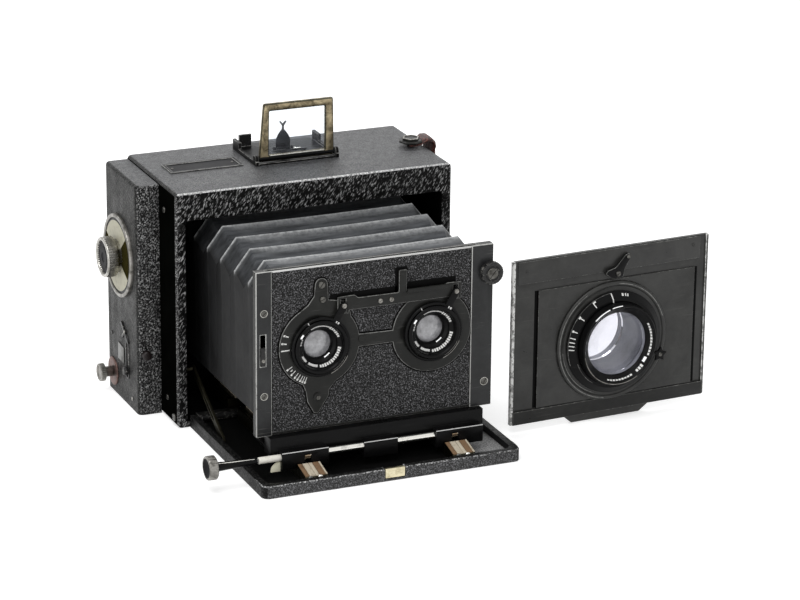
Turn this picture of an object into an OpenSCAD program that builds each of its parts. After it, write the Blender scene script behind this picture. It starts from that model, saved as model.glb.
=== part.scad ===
// Folding stereo plate camera with a second lens panel beside it.
// Millimetres. +X is the camera's left-to-right as seen from the front, +Z is up, the lenses look along -Y.
// The origin is the mouth of the tripod socket, in the middle of the underside of the body.

/* [Body] */
// Width of the main body
body_w = 158.6; // [154:0.2:166]
// Depth of the main body, front face to back
body_d = 77.6; // [76:0.2:90]
// Height of the main body
body_h = 131.4; // [131:0.2:140]
// Thickness of the side walls
wall = 4; // [3:0.1:4.6]
// Thickness of the floor of the body
floor_t = 3.2; // [2.6:0.1:3.4]
// Height of the solid band above the front opening
top_band = 15.4; // [14:0.1:15.8]
// Width of the rim on each side of the front opening
side_rim = 5.5; // [4.8:0.1:6]
// Radius of the body's long edges
corner_r = 2.5; // [1:0.5:4]
// Thickness of the film gate inside the body
gate_t = 2; // [1.5:0.1:2.5]
// Width of the picture
plate_w = 120; // [110:1:124]
// Height of the picture
plate_h = 90; // [80:1:94]
// Depth of the recess that takes the focusing back
back_t = 10; // [9:0.5:12]

/* [Mechanism box] */
// Width of the box on the side of the body
mech_w = 13; // [12:0.5:16]
// Depth of the box, from the back of the body
mech_d = 52; // [51:0.5:56]
// Height of the box
mech_h = 129.6; // [127:0.2:131]
// Wall of the box
mech_wall = 1.8; // [1.2:0.1:2.2]
// Distance of the winding axis below the body's top
wind_z = 48.6; // [47.4:0.2:50]
// Distance of the winding axis behind the front face
wind_back = 54.3; // [54:0.1:54.6]
// Diameter of the winding knob
wind_knob_d = 22.2; // [16:0.2:24]
// Length of the winding knob
wind_knob_l = 8.6; // [6:0.2:12]
// Outer diameter of the ring round the dial
dial_d = 46; // [40:0.5:46]
// Diameter of the lower knob
tension_knob_d = 10.4; // [8:0.2:12]
// Length of the lower knob
tension_knob_l = 7.6; // [5:0.2:10]
// Height of the lower knob's axis
tension_z = 11.5; // [11:0.1:13]
// Distance of the lower knob's axis behind the front face
tension_back = 68; // [67:0.5:69]
// Radius of the shutter rollers
roller_r = 5.5; // [4:0.1:5.6]
// Module of the winding gears
gear_m = 1; // [1:0.5:1]
// Teeth of the winding gear
gear_big = 40; // [38:2:40]
// Teeth of the roller gear
gear_small = 20; // [18:2:20]

/* [Bed] */
// Width of the bed
bed_w = 144.8; // [142:0.2:145.4]
// Length of the bed
bed_l = 110.4; // [109:0.2:112]
// Height of the bed's rim
bed_h = 6.8; // [6:0.1:8]
// Thickness of the bed's floor
bed_floor = 3; // [2.5:0.1:3.2]
// Width of the bed's rim
bed_rim = 4; // [3:0.1:4.2]
// Radius of the hinge knuckles
knuckle_r = 1.9; // [1.7:0.1:2]
// Radius of every hinge pin
pin_r = 1; // [0.7:0.05:1.2]
// Distance from the middle to each slide rail
rail_x = 41.5; // [40:0.5:43]
// Width of a slide rail
rail_w = 12.5; // [11:0.5:14]
// Height of the top of the rails
rail_z = 10; // [9.6:0.1:10.2]

/* [Carriage] */
// Distance of the standard's face in front of the body
extension = 83.9; // [82:0.1:86]
// Radius of the focusing shaft
shaft_r = 1.9; // [1.6:0.05:2]
// Height of the focusing shaft
shaft_z = 13.9; // [13.9:0.1:14]
// Diameter of the focusing knob
focus_knob_d = 13; // [10:0.5:14]
// Module of the rack and its pinion
rack_m = 0.5; // [0.5:0.05:0.5]
// Teeth of the pinion
pinion_n = 8; // [8:1:8]
// Width of the standard
std_w = 132.4; // [130:0.2:133]
// Height of the bottom of the standard
std_z = 23.3; // [23:0.1:24]
// Height of the top of the standard
std_top = 113; // [112:0.2:114]
// Thickness of the standard's back plate
std_t = 2; // [1.6:0.1:2.4]
// Width of the left strip
strip_l = 8.7; // [8:0.1:9]
// Width of the right strip
strip_r = 12.2; // [12:0.1:12.4]
// Thickness of the strips
strip_t = 1; // [0.8:0.1:1.2]

/* [Lens board] */
// Distance between the two lenses
lens_gap = 63; // [60:0.5:65]
// Height of the lens axes
lens_z = 69.5; // [66:0.5:72]
// Thickness of the board
board_t = 1.6; // [1.2:0.1:1.8]
// Thickness of its covering
cover_t = 0.8; // [0.5:0.1:0.9]
// How far the board rises
rise = 15; // [8:1:15]
// Diameter of the ring plates
ring_d = 44.6; // [42:0.2:44.6]
// Radius of a barrel
barrel_r = 14.2; // [13.5:0.1:14.6]
// Radius of a front glass
glass_r = 7.8; // [6.5:0.1:8.4]
// Distance from a lens axis to its link pin
link_arm = 24.4; // [24:0.1:25]

/* [Bellows] */
// Half width of the bellows at its ridges
bellows_hw = 63; // [58:0.5:64]
// Height of the ridges at the top
bellows_top = 112.5; // [110:0.5:114]
// Height of the ridges at the bottom
bellows_bottom = 22; // [20:0.5:24]
// Depth of a pleat
pleat_depth = 6.5; // [3:0.5:7.5]
// Number of ridges
pleats = 6; // [4:1:9]
// Width of the corner folds
chamfer_w = 8.5; // [6:0.5:10]
// Height of the corner folds
chamfer_h = 11; // [8:0.5:12]
// Thickness of the bellows cloth
cloth_t = 0.8; // [0.5:0.1:1]

/* [Finder] */
// Width of the finder frame at its foot
finder_w = 44; // [40:0.5:46]
// Height of the finder frame above the top of the body
finder_h = 34; // [30:0.5:34]
// Thickness of the finder frame
finder_t = 2.2; // [1.8:0.1:2.4]
// Distance of the finder's hinge behind the front face
finder_back = 34; // [33:0.5:36]

/* [Second lens panel] */
// Width of the panel
panel_w = 117.4; // [112:0.2:120]
// Height of the panel above its foot
panel_h = 92.3; // [88:0.1:94]
// Height of the foot
foot_h = 4.4; // [3:0.1:6]
// Distance of the panel's middle from the camera's middle plane
panel_x = 142.8; // [142:0.2:160]
// Distance of the panel in front of the body
panel_front = 69.2; // [60:0.2:80]
// Turn of the panel about the vertical
panel_turn = 3.1; // [0:0.1:6]
// Height of the panel's lens axis
panel_lens_z = 44.5; // [42:0.5:46]
// Radius of the panel's lens flange
flange_r = 33.5; // [31:0.5:34]
// Radius of the panel's barrel at its foot
panel_barrel_r = 22.8; // [21.4:0.2:24.4]
// Radius of the panel's front glass
panel_glass_r = 17.5; // [15:0.5:18.5]

/* [Hidden] */
$fn = 64;

eps = 0.01;           // overlap that joins two solids of one node
run = 0.05;           // radial clearance of a shaft in its bore
slip = 0.1;           // clearance of a sliding face
clear = 0.3;          // clearance of parts that pass each other

front_y = -body_d / 2;
back_y = body_d / 2;
side_x = body_w / 2;
mech_x = -side_x - mech_w;
mech_front = back_y - mech_d;
opening_hw = side_x - side_rim;
opening_top = body_h - top_band;
chamber_hw = side_x - wall;
chamber_top = body_h - wall;
front_wall = 4;
gate_y = back_y - back_t - gate_t;
gate_z = (opening_top + floor_t) / 2 + 6.4;

// y of a place given as its distance behind the body's front face
function behind(d) = front_y + d;
// y of a place given as its distance in front of the body's front face
function ahead(d) = front_y - d;

wind_y = behind(wind_back);
// the wheelwork hangs below the lower of the two tops, the body's and the mechanism box's
mech_step = 1.8;
wind_axis_z = min(body_h, mech_h + mech_step) - wind_z;
upper_z = wind_axis_z + gear_m * (gear_big + gear_small) / 2;
lower_z = 12.5;
tension_y = behind(tension_back);
wind_shaft_r = 2.4;
roller_shaft_r = 2;
frame_y = behind(45.6);
frame_t = 2;

std_y = ahead(extension);
strip_y = std_y + strip_t;
board_y = strip_y + slip;
back_plate_y = board_y + board_t + slip;
std_rear = back_plate_y + std_t;
leather_y = board_y - cover_t;
ring_t = 0.8;
ring_y = leather_y - ring_t;
board_left = -std_w / 2 + strip_l - 3.2;
board_right = std_w / 2 - strip_r + 3;
board_z = std_z + 1.7;
board_top = std_top - 0.5;

pinion_r = rack_m * pinion_n / 2;
pinion_w = 3;
rack_pitch = PI * rack_m;
rack_z = shaft_z - pinion_r;
shaft_y = std_y - 7.6;
block_x = [[-56, -30], [30.6, 57.4]];
block_y = [shaft_y - 2.7, std_y - 4];
block_z = [7.6, shaft_z + 3];
knob_x = -96.5;

finder_x = 2.2;
finder_y = behind(finder_back);
finder_pin_z = body_h + 3.4;
finder_pin_r = 0.7;
finder_knuckle_r = 1.5;
sight_y = behind(53.5);
sight_pin_z = body_h + 1.9;
sight_pin_r = 0.4;
sight_knuckle_r = 0.75;

// box given by its two limits along each axis
module block(x, y, z) {
    translate([x[0], y[0], z[0]]) cube([x[1] - x[0], y[1] - y[0], z[1] - z[0]]);
}

// rod along X from x0 to x1
module rod_x(r, x0, x1, y, z) {
    translate([x0, y, z]) rotate([0, 90, 0]) cylinder(r = r, h = x1 - x0);
}

// rod along Y from y0 to y1
module rod_y(r, y0, y1, x, z) {
    translate([x, y0, z]) rotate([-90, 0, 0]) cylinder(r = r, h = y1 - y0);
}

// rod along Z from z0 to z1
module rod_z(r, z0, z1, x, y) {
    translate([x, y, z0]) cylinder(r = r, h = z1 - z0);
}

// rectangle with round corners, centred
module round_rect(w, h, r) {
    square([w - 2 * r, h], center = true);
    square([w, h - 2 * r], center = true);
    for (x = [-1, 1], y = [-1, 1]) translate([x * (w / 2 - r), y * (h / 2 - r)]) circle(r = r);
}

// outline drawn in X and Z, made solid from y0 to y1
module plate_y(y0, y1) {
    translate([0, y1, 0]) rotate([90, 0, 0]) linear_extrude(y1 - y0) children();
}

// outline drawn in Y and Z, made solid from x0 to x1
module plate_x(x0, x1) {
    translate([x0, 0, 0]) rotate([90, 0, 90]) linear_extrude(x1 - x0) children();
}

// half circle of radius r about the point c, starting at the angle a
function half_round(c, r, a) = [for (i = [0:8]) c + r * [cos(a + i * 22.5), sin(a + i * 22.5)]];

// straight bar with round ends in the plane of an outline
module bar_2d(a, b, r) {
    turn = atan2(b[1] - a[1], b[0] - a[0]);
    polygon(concat(half_round(a, r, turn + 90), half_round(b, r, turn - 90)));
}

// spur gear outline with straight flanks
module gear_2d(n, m) {
    pr = n * m / 2;
    half = 90 / n * 0.86;
    tip = half * 0.5;
    points = [for (i = [0:n - 1], k = [0:3])
        let (a = i * 360 / n + [-half * 1.25, -tip, tip, half * 1.25][k])
        let (r = pr + [-1.15, 0.9, 0.9, -1.15][k] * m)
        r * [cos(a), sin(a)]];
    polygon(points);
}

// Body

module body_shell() {
    color("dimgray") difference() {
        plate_y(front_y, back_y) translate([0, body_h / 2]) round_rect(body_w, body_h, corner_r);
        block([-opening_hw, opening_hw], [front_y - 1, front_y + front_wall + 1], [floor_t, opening_top]);
        block([-chamber_hw, chamber_hw], [front_y + front_wall, gate_y], [floor_t, chamber_top]);
        block([-plate_w / 2, plate_w / 2], [gate_y - 1, back_y + 1],
            [gate_z - plate_h / 2, gate_z + plate_h / 2]);
        back_recess(0);
        rod_z(socket_r, -1, floor_t + 1, 0, 0);
        rod_x(roller_shaft_r + run, -side_x - 1, -chamber_hw + 1, wind_y, upper_z);
        for (z = [upper_z, lower_z])
            rod_x(roller_shaft_r + run, chamber_hw - 1, chamber_hw + 2, wind_y, z);
        rod_x(roller_shaft_r + run, -chamber_hw - 2, -chamber_hw + 1, wind_y, lower_z);
        rod_x(wind_shaft_r + run, -side_x - 1, -side_x + 2, wind_y, wind_axis_z);
        rod_x(tension_shaft_r + run, -side_x - 1, -side_x + 2, tension_y, tension_z);
    }
}

socket_r = 6.6;
tension_shaft_r = 1.6;
back_hw = side_x - 7.3;
back_z = [7, body_h - 7.4];

// recess for the focusing back, smaller by gap on each side
module back_recess(gap) {
    block([-back_hw + gap, back_hw - gap], [back_y - back_t, back_y + (gap == 0 ? 1 : 0)],
        [back_z[0] + gap, back_z[1] - gap]);
}

// ends of the name plate, between the body's left edge and the finder's base
plate_ends = [-side_x + 10.3, finder_x - finder_w / 2 - 7.6];

module name_plate() {
    color("darkslategray") difference() {
        block(plate_ends, [behind(35.6), behind(51.6)], [body_h, body_h + 0.8]);
        block([plate_ends[0] + 1, plate_ends[1] - 1], [behind(36.6), behind(50.6)], [body_h + 0.5, body_h + 1]);
    }
}

thread_r = 4.76;
socket_depth = 8;

module tripod_socket() {
    color("goldenrod") difference() {
        rod_z(socket_r, 0, socket_depth + 1.4, 0, 0);
        rod_z(thread_r, -1, socket_depth, 0, 0);
    }
}

stud_x = side_x - 7;
stud_y = behind(37.5);
stud_r = 7;

module strap_stud() {
    color("dimgray") {
        rod_z(stud_r, body_h + 2.2, body_h + 3.6, stud_x - 1, stud_y);
        rod_z(stud_r - 2.2, body_h + 3.6 - eps, body_h + 5, stud_x - 1, stud_y);
        rod_z(2, body_h, body_h + 2.2 + eps, stud_x - 1, stud_y);
    }
}

strap_w = 16;
strap_t = 1.9;
strap_bow = 6.6;
strap_low = 30;

// outline of the strap on the camera's right side: along the top, over the edge and down in a bow
function strap_side(o) = [for (i = [0:14])
    let (t = i / 14)
    [side_x + 0.3 + o + strap_bow * sin(180 * t), body_h - 3 - t * (body_h - 3 - strap_low)]];

module carry_strap() {
    outer_top = body_h + 0.2 + strap_t;
    color("saddlebrown") difference() {
        union() {
            plate_y(stud_y - strap_w / 2, stud_y + strap_w / 2) polygon(concat(
                [[stud_x - 7, body_h + 0.2], [stud_x - 7, outer_top], [side_x, outer_top],
                    [side_x + strap_t, body_h - 0.2]],
                strap_side(strap_t),
                [for (i = [14:-1:0]) strap_side(0)[i]],
                [[side_x + 0.3, body_h - 1], [side_x - 1, body_h + 0.2]]));
        }
        rod_z(2 + 0.1, body_h - 1, body_h + 4, stud_x - 1, stud_y);
    }
}

module case_screws() {
    color("silver") {
        for (p = [[17.5, 118], [15.4, 12.8], [6, 4.5]])
            rod_x(1.6, -side_x - 0.7, -side_x, behind(p[0]), p[1]);
        for (x = [-1, 1]) rod_y(2.1, front_y - 1.4, front_y, x * (opening_hw + 2.4), opening_top - 3);
        for (z = [24, 100]) rod_x(1.6, side_x, side_x + 0.7, behind(12), z);
        rod_x(3.2, side_x, side_x + 0.28, stud_y, strap_low + 4);
    }
}

// Mechanism box

module mechanism_box() {
    r = 3;
    color("dimgray") difference() {
        translate([mech_x + r, 0, 0]) union() {
            translate([0, mech_front, 0]) cube([mech_w - r, mech_d, mech_h]);
            translate([-r, mech_front + r, 0]) cube([mech_w, mech_d - 2 * r, mech_h]);
            for (y = [mech_front + r, back_y - r]) rod_z(r, 0, mech_h, 0, y);
        }
        block([mech_x + mech_wall, -side_x + 1], [mech_front + mech_wall, back_y - mech_wall],
            [mech_wall, mech_h - mech_wall]);
        rod_x(wind_shaft_r + run, mech_x - 1, mech_x + 3, wind_y, wind_axis_z);
        rod_x(tension_shaft_r + run, mech_x - 1, mech_x + 3, tension_y, tension_z);
        rod_y(button_r + run, mech_front - 1, mech_front + mech_wall + 1, button_x, button_z);
        block([mech_x - 1, mech_x + 3], [slot_y - slot_w / 2, slot_y + slot_w / 2], slot_z);
    }
}

button_r = 2.6;
button_x = mech_x + 4.6;
button_z = 34.3;
slot_y = behind(43.8);
slot_w = 2.4;
slot_z = [16.5, 39];
lever_z = 19.8;

dial_out = 1.9;
ring_band = 2.2;

module disc_ring() {
    color("silver") difference() {
        rod_x(dial_d / 2, mech_x - dial_out, mech_x, wind_y, wind_axis_z);
        rod_x(dial_d / 2 - ring_band, mech_x - dial_out - 1, mech_x + 1, wind_y, wind_axis_z);
    }
}

module winding_dial() {
    color("beige") difference() {
        rod_x(dial_d / 2 - ring_band - slip, mech_x - 1.5, mech_x - slip, wind_y, wind_axis_z);
        rod_x(wind_shaft_r, mech_x - 3, mech_x + 1, wind_y, wind_axis_z);
    }
}

module winding_knob() {
    x1 = mech_x - 1.5;
    x0 = x1 - wind_knob_l;
    color("silver") difference() {
        union() {
            rod_x(wind_knob_d / 2, x0, x1 - 2, wind_y, wind_axis_z);
            rod_x(wind_knob_d / 2 - 2, x1 - 2 - eps, x1, wind_y, wind_axis_z);
        }
        rod_x(wind_knob_d / 2 - 2, x0 - 1, x0 + 1.2, wind_y, wind_axis_z);
    }
}

module winding_gear() {
    gear_x = mech_x + 5.4;
    color("goldenrod") {
        rod_x(wind_shaft_r, mech_x - 1.5, -side_x + 1.6, wind_y, wind_axis_z);
        translate([gear_x, wind_y, wind_axis_z]) rotate([90, 0, 90]) linear_extrude(2.4) difference() {
            gear_2d(gear_big, gear_m);
            for (a = [0:60:300]) rotate(a) translate([gear_m * gear_big / 2 * 0.55, 0]) circle(r = 3);
        }
    }
}

module roller_gear() {
    color("goldenrod") translate([mech_x + 5.4, wind_y, upper_z]) rotate([90, 0, 90])
        linear_extrude(2.4) difference() {
            rotate(180 / gear_small - 90) gear_2d(gear_small, gear_m);
            circle(r = roller_shaft_r);
        }
}

module upper_roller() {
    color("tan") {
        rod_x(roller_r, -chamber_hw + 3, chamber_hw - 3, wind_y, upper_z);
        rod_x(roller_shaft_r, mech_x + 4, chamber_hw + 1.8, wind_y, upper_z);
    }
}

module lower_roller() {
    color("tan") {
        rod_x(roller_r, -chamber_hw + 3, chamber_hw - 3, wind_y, lower_z);
        rod_x(roller_shaft_r, -chamber_hw - 1.8, chamber_hw + 1.8, wind_y, lower_z);
    }
}

module shutter_curtain() {
    y0 = wind_y + roller_r + clear;
    color("black") block([-chamber_hw + 8, chamber_hw - 8], [y0, y0 + 0.6], [lower_z - 2, upper_z + 2]);
}

module tension_plate() {
    color("peru") difference() {
        rod_x(7.4, mech_x - 0.8, mech_x, tension_y, tension_z);
        rod_x(tension_shaft_r + run, mech_x - 2, mech_x + 1, tension_y, tension_z);
    }
}

module tension_knob() {
    color("silver") {
        rod_x(tension_knob_d / 2, mech_x - 1 - tension_knob_l, mech_x - 1, tension_y, tension_z);
        rod_x(tension_shaft_r, mech_x - 1 - eps, -side_x + 1.6, tension_y, tension_z);
    }
}

module release_button() {
    color("maroon") {
        rod_y(button_r, mech_front - 2.4, mech_front + 5, button_x, button_z);
        difference() {
            rod_y(button_r + 0.8, mech_front + mech_wall + slip, mech_front + mech_wall + 1.2, button_x, button_z);
            block([mech_x, mech_x + mech_wall + slip], [mech_front, mech_front + 4],
                [button_z - 5, button_z + 5]);
        }
    }
}

module time_lever() {
    color("darkslategray") {
        rod_x(2.4, mech_x - 2.6, mech_x - slip, slot_y, lever_z);
        block([mech_x - slip - eps, mech_x + mech_wall + slip],
            [slot_y - slot_w / 2 + slip, slot_y + slot_w / 2 - slip], [lever_z - 1.6, lever_z + 1.6]);
        block([mech_x + mech_wall + slip, mech_x + mech_wall + 1.1], [slot_y - 3, slot_y + 3],
            [lever_z - 2.4, lever_z + 2.4]);
    }
}

// Focusing back

cover_hinge_z = back_z[0] + 4;
cover_low = cover_hinge_z + 2;
cover_knuckle_x = 45;
cover_knuckle_w = 12;
cover_y = back_y - 2.2;
screen_w = plate_w + 4;
screen_h = plate_h + 4;

module back_frame() {
    color("dimgray") difference() {
        back_recess(slip);
        block([-plate_w / 2 + 2, plate_w / 2 - 2], [gate_y, back_y + 1],
            [gate_z - plate_h / 2 + 2, gate_z + plate_h / 2 - 2]);
        block([-screen_w / 2 - slip, screen_w / 2 + slip], [gate_y + gate_t + 2, back_y + 1],
            [gate_z - screen_h / 2 - slip, gate_z + screen_h / 2 + slip]);
        cover_space(0);
        for (x = [-1, 1]) {
            c = x * cover_knuckle_x;
            rod_x(cover_knuckle_r + 0.7, c - cover_knuckle_w - 0.3, c + cover_knuckle_w + 0.3,
                cover_y, cover_hinge_z);
            block([c - cover_knuckle_w - 0.3, c + cover_knuckle_w + 0.3], [cover_y - 1.6, back_y + 1],
                [cover_hinge_z, cover_low + 1]);
            rod_x(pin_r + run, c - cover_knuckle_w - 4.2, c + cover_knuckle_w + 4.2, cover_y, cover_hinge_z);
        }
        block([-bolt_hw - 0.2, bolt_hw + 0.2], bolt_slot_y, [cover_top - 1, cover_top + 3.6]);
    }
}

cover_hw = back_hw - 6;
cover_top = back_z[1] - 6;
cover_knuckle_r = 1.9;

// space of the cover in the back, smaller by gap
module cover_space(gap) {
    block([-cover_hw + gap, cover_hw - gap], [cover_y - 1.6 + gap, back_y + (gap == 0 ? 1 : 0)],
        [cover_low + (gap == 0 ? 0 : 1.4), cover_top - gap]);
}

module hood_cover() {
    color("dimgray") {
        difference() {
            cover_space(0.2);
            block([-bolt_hw - 0.2, bolt_hw + 0.2], [bolt_slot_y[0], back_y + 1],
                [cover_top - 9, cover_top + 1]);
            block([-cover_hw + 8, cover_hw - 8], [back_y - 0.6, back_y + 1], [cover_low + 9, cover_top - 12]);
        }
        for (x = [-1, 1]) difference() {
            c = x * cover_knuckle_x;
            union() {
                rod_x(cover_knuckle_r, c - cover_knuckle_w, c + cover_knuckle_w, cover_y, cover_hinge_z);
                block([c - cover_knuckle_w, c + cover_knuckle_w], [cover_y - 0.6, cover_y + 1],
                    [cover_hinge_z, cover_low + 2]);
            }
            rod_x(pin_r + run, c - cover_knuckle_w - 1, c + cover_knuckle_w + 1, cover_y, cover_hinge_z);
        }
    }
}

module ground_glass() {
    y0 = gate_y + gate_t + 2;
    color("aliceblue") block([-screen_w / 2, screen_w / 2], [y0, y0 + 1.8],
        [gate_z - screen_h / 2, gate_z + screen_h / 2]);
}

bolt_hw = 4;
bolt_slot_y = [back_y - 2, back_y - 0.7];

module back_catch() {
    z = cover_top - 0.5;
    color("silver") {
        block([-bolt_hw, bolt_hw], [bolt_slot_y[0] + slip, bolt_slot_y[1] - slip], [z - 7, z]);
        block([-bolt_hw + 1, bolt_hw - 1], [bolt_slot_y[1] - slip - eps, back_y + 0.9], [z - 5.4, z - 3.6]);
    }
}

// Bed

hinge_y = ahead(3);
hinge_z = bed_floor + 2.1;
strut_low = [ahead(38), bed_floor + 2.2];
strut_high = [behind(8), 30];
strut_t = 1.4;
strut_x = max(bellows_hw + 1, min(opening_hw - 1, bed_w / 2 - bed_rim - 1.1));
leaf_hw = 13;
leaf_x = min(bed_w / 2 - 18.4, opening_hw - leaf_hw - 1);
knuckle_x = leaf_x - 24;
knuckle_hw = 9;
catch_x = [-5, 6];

module bed_outline(gap) {
    r = 4;
    hw = bed_w / 2 - gap;
    y0 = ahead(bed_l) + gap;
    y1 = ahead(clear);
    translate([-hw, y0 + r]) square([2 * hw, y1 - y0 - r]);
    translate([-hw + r, y0]) square([2 * hw - 2 * r, r + 1]);
    for (x = [-hw + r, hw - r]) translate([x, y0 + r]) circle(r = r);
}

module bed_tray() {
    color("dimgray") difference() {
        union() {
            difference() {
                linear_extrude(bed_h) bed_outline(0);
                translate([0, 0, bed_floor]) linear_extrude(bed_h) bed_outline(bed_rim);
                block([-bed_w / 2 + bed_rim, bed_w / 2 - bed_rim], [ahead(8), ahead(-1)],
                    [bed_floor, bed_h + 1]);
            }
            for (x = [-1, 1]) {
                k = [x * knuckle_x - knuckle_hw, x * knuckle_x + knuckle_hw];
                rod_x(knuckle_r, k[0], k[1], hinge_y, hinge_z);
                block(k, [hinge_y - knuckle_r, hinge_y], [bed_floor - eps, hinge_z]);
            }
        }
        block([catch_x[0] - 0.2, catch_x[1] + 0.2], [ahead(bed_l + 1), ahead(bed_l - bed_rim - 1)],
            [1.4, bed_h + 1]);
        rod_x(pin_r + run, -80, 80, hinge_y, hinge_z);
        for (x = [-1, 1]) {
            rod_x(1 + run, x * (bed_w / 2 - 2.5) - 2, x * (bed_w / 2 - 2.5) + 2, strut_low[0], strut_low[1]);
            block([x * strut_x - strut_t / 2 - 0.2, x * strut_x + strut_t / 2 + 0.2],
                [strut_low[0] - 2.3, strut_low[0] + 6.5], [bed_floor, bed_h + 1]);
        }
    }
}

module bed_hinge() {
    color("darkslategray") difference() {
        union() {
            for (x = [-leaf_x, 0, leaf_x]) {
                rod_x(knuckle_r, x - leaf_hw, x + leaf_hw, hinge_y, hinge_z);
                block([x - leaf_hw, x + leaf_hw], [hinge_y, behind(6)], [hinge_z - 0.9, hinge_z + 0.3]);
                block([x - leaf_hw, x + leaf_hw], [behind(0.4), behind(6)], [floor_t, hinge_z]);
            }
        }
        rod_x(pin_r + run, -80, 80, hinge_y, hinge_z);
    }
}

module hinge_pins() {
    color("silver") {
        rod_x(pin_r, -leaf_x - leaf_hw - 0.5, leaf_x + leaf_hw + 0.5, hinge_y, hinge_z);
        for (x = [-1, 1]) rod_x(pin_r, x * cover_knuckle_x - cover_knuckle_w - 4,
            x * cover_knuckle_x + cover_knuckle_w + 4, cover_y, cover_hinge_z);
        rod_x(finder_pin_r, finder_x - finder_w / 2 - 2.4, finder_x + finder_w / 2 + 2.4, finder_y,
            finder_pin_z);
        rod_x(sight_pin_r, finder_x - 6, finder_x + 6, sight_y, sight_pin_z);
    }
}

// rail outline in Y and Z, with a bevelled front end
module rail_2d(y0, y1, foot, bevel) {
    polygon([[y0, foot], [y0, foot + 1.5], [y0 + bevel, rail_z], [y1, rail_z], [y1, foot]]);
}

// rack outline in Y and Z from y0 to y1, with a tooth gap below the pinion
module rack_2d(y0, y1) {
    n = floor((y1 - y0) / rack_pitch);
    root = rack_z - 0.6;
    tip = rack_z + 0.38;
    start = shaft_y + rack_pitch / 2 - rack_pitch * floor((shaft_y - y0) / rack_pitch);
    polygon(concat([[start - 0.5, rail_z - eps], [start - 0.5, root]],
        [for (i = [0:n - 1], k = [0:3])
            [start + i * rack_pitch + [-0.42, -0.14, 0.14, 0.42][k], [root, tip, tip, root][k]]],
        [[start + (n - 1) * rack_pitch + 0.5, root], [start + (n - 1) * rack_pitch + 0.5, rail_z - eps]]));
}

module slide_rails() {
    pairs = [[ahead(bed_l - bed_rim - 2.4), ahead(6.5), bed_floor, 7],
        [behind(7), frame_y - 1.4, floor_t, 0.5]];
    color("peru") for (x = [-1, 1], p = pairs) {
        difference() {
            plate_x(x * rail_x - rail_w / 2, x * rail_x + rail_w / 2) rail_2d(p[0], p[1], p[2], p[3]);
            for (g = [-4.2, 4.2]) block([x * rail_x + g - 0.4, x * rail_x + g + 0.4], [p[0] - 1, p[1] + 1],
                [rail_z - 0.5, rail_z + 1]);
        }
        plate_x(x * rail_x - 1.4, x * rail_x + 1.4)
            rack_2d(max(p[0] + 8, shaft_y - 1.6), p[1] - 1);
    }
}

module bed_struts() {
    color("darkkhaki") for (s = [-1, 1]) {
        x0 = s * strut_x;
        difference() {
            plate_x(x0 - strut_t / 2, x0 + strut_t / 2) bar_2d(strut_low, strut_high, 2);
            plate_x(x0 - 2, x0 + 2) bar_2d(strut_low + 0.3 * (strut_high - strut_low),
                strut_low + 0.6 * (strut_high - strut_low), 0.8);
        }
        rod_x(1, min(x0, s * (bed_w / 2 - 1)), max(x0, s * (bed_w / 2 - 1)), strut_low[0], strut_low[1]);
        rod_x(1, min(x0, s * chamber_hw), max(x0, s * chamber_hw), strut_high[0], strut_high[1]);
    }
}

module bed_catch() {
    color("goldenrod") block(catch_x, [ahead(bed_l + 0.3), ahead(bed_l - 2)], [1.6, bed_h + 0.1]);
}

// Bellows

bellows_front = std_rear + clear;
bellows_rear = frame_y - clear;
bellows_pitch = (bellows_rear - bellows_front) / (pleats + 0.12);
ridge_first = bellows_front + 0.7 * bellows_pitch;

// depth of the side folds, as a share of the folds above
side_fold = 0.2;

// places of the folds, front to back, each with its depth below the ridge line
folds = concat([[bellows_front, 3.4]],
    [for (i = [0:pleats - 1], k = [0, 1])
        if (k == 0 || i < pleats - 1) [ridge_first + (i + k / 2) * bellows_pitch, k * pleat_depth]],
    [[bellows_rear, 3.4]]);

// one eight-cornered ring of the bellows, drawn in by d above and below and by s at the sides
function fold_ring(y, d, s) = let (w = bellows_hw - s, t = bellows_top - d, b = bellows_bottom + d,
    c = chamfer_w, h = chamfer_h, l = 6)
    [[w, y, b + l], [w, y, t - h], [w - c, y, t], [-w + c, y, t], [-w, y, t - h], [-w, y, b + l],
        [-w + c, y, b], [w - c, y, b]];

module bellows() {
    n = len(folds);
    points = concat([for (f = folds) each fold_ring(f[0], f[1], f[1] * side_fold)],
        [for (f = folds) each fold_ring(f[0], f[1] + cloth_t, f[1] * side_fold + cloth_t)]);
    inner = 8 * n;
    sides = [for (i = [0:n - 2], j = [0:7])
        let (a = 8 * i + j, b = 8 * i + (j + 1) % 8)
        each [[a, b, a + 8], [b, b + 8, a + 8],
            [inner + a, inner + a + 8, inner + b], [inner + b, inner + a + 8, inner + b + 8]]];
    ends = [for (j = [0:7])
        let (k = (j + 1) % 8, last = 8 * (n - 1))
        each [[j, inner + j, k], [k, inner + j, inner + k],
            [last + j, last + k, inner + last + j], [last + k, inner + last + k, inner + last + j]]];
    color("darkslategray") polyhedron(points, concat(sides, ends), convexity = 8);
}

module bellows_frame() {
    color("darkslategray") difference() {
        block([-chamber_hw + slip, chamber_hw - slip], [frame_y, frame_y + frame_t],
            [floor_t, chamber_top - slip]);
        block([-bellows_hw + 8, bellows_hw - 8], [frame_y - 1, frame_y + frame_t + 1],
            [bellows_bottom + 6, bellows_top - 8]);
    }
}

// Carriage and standard

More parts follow.
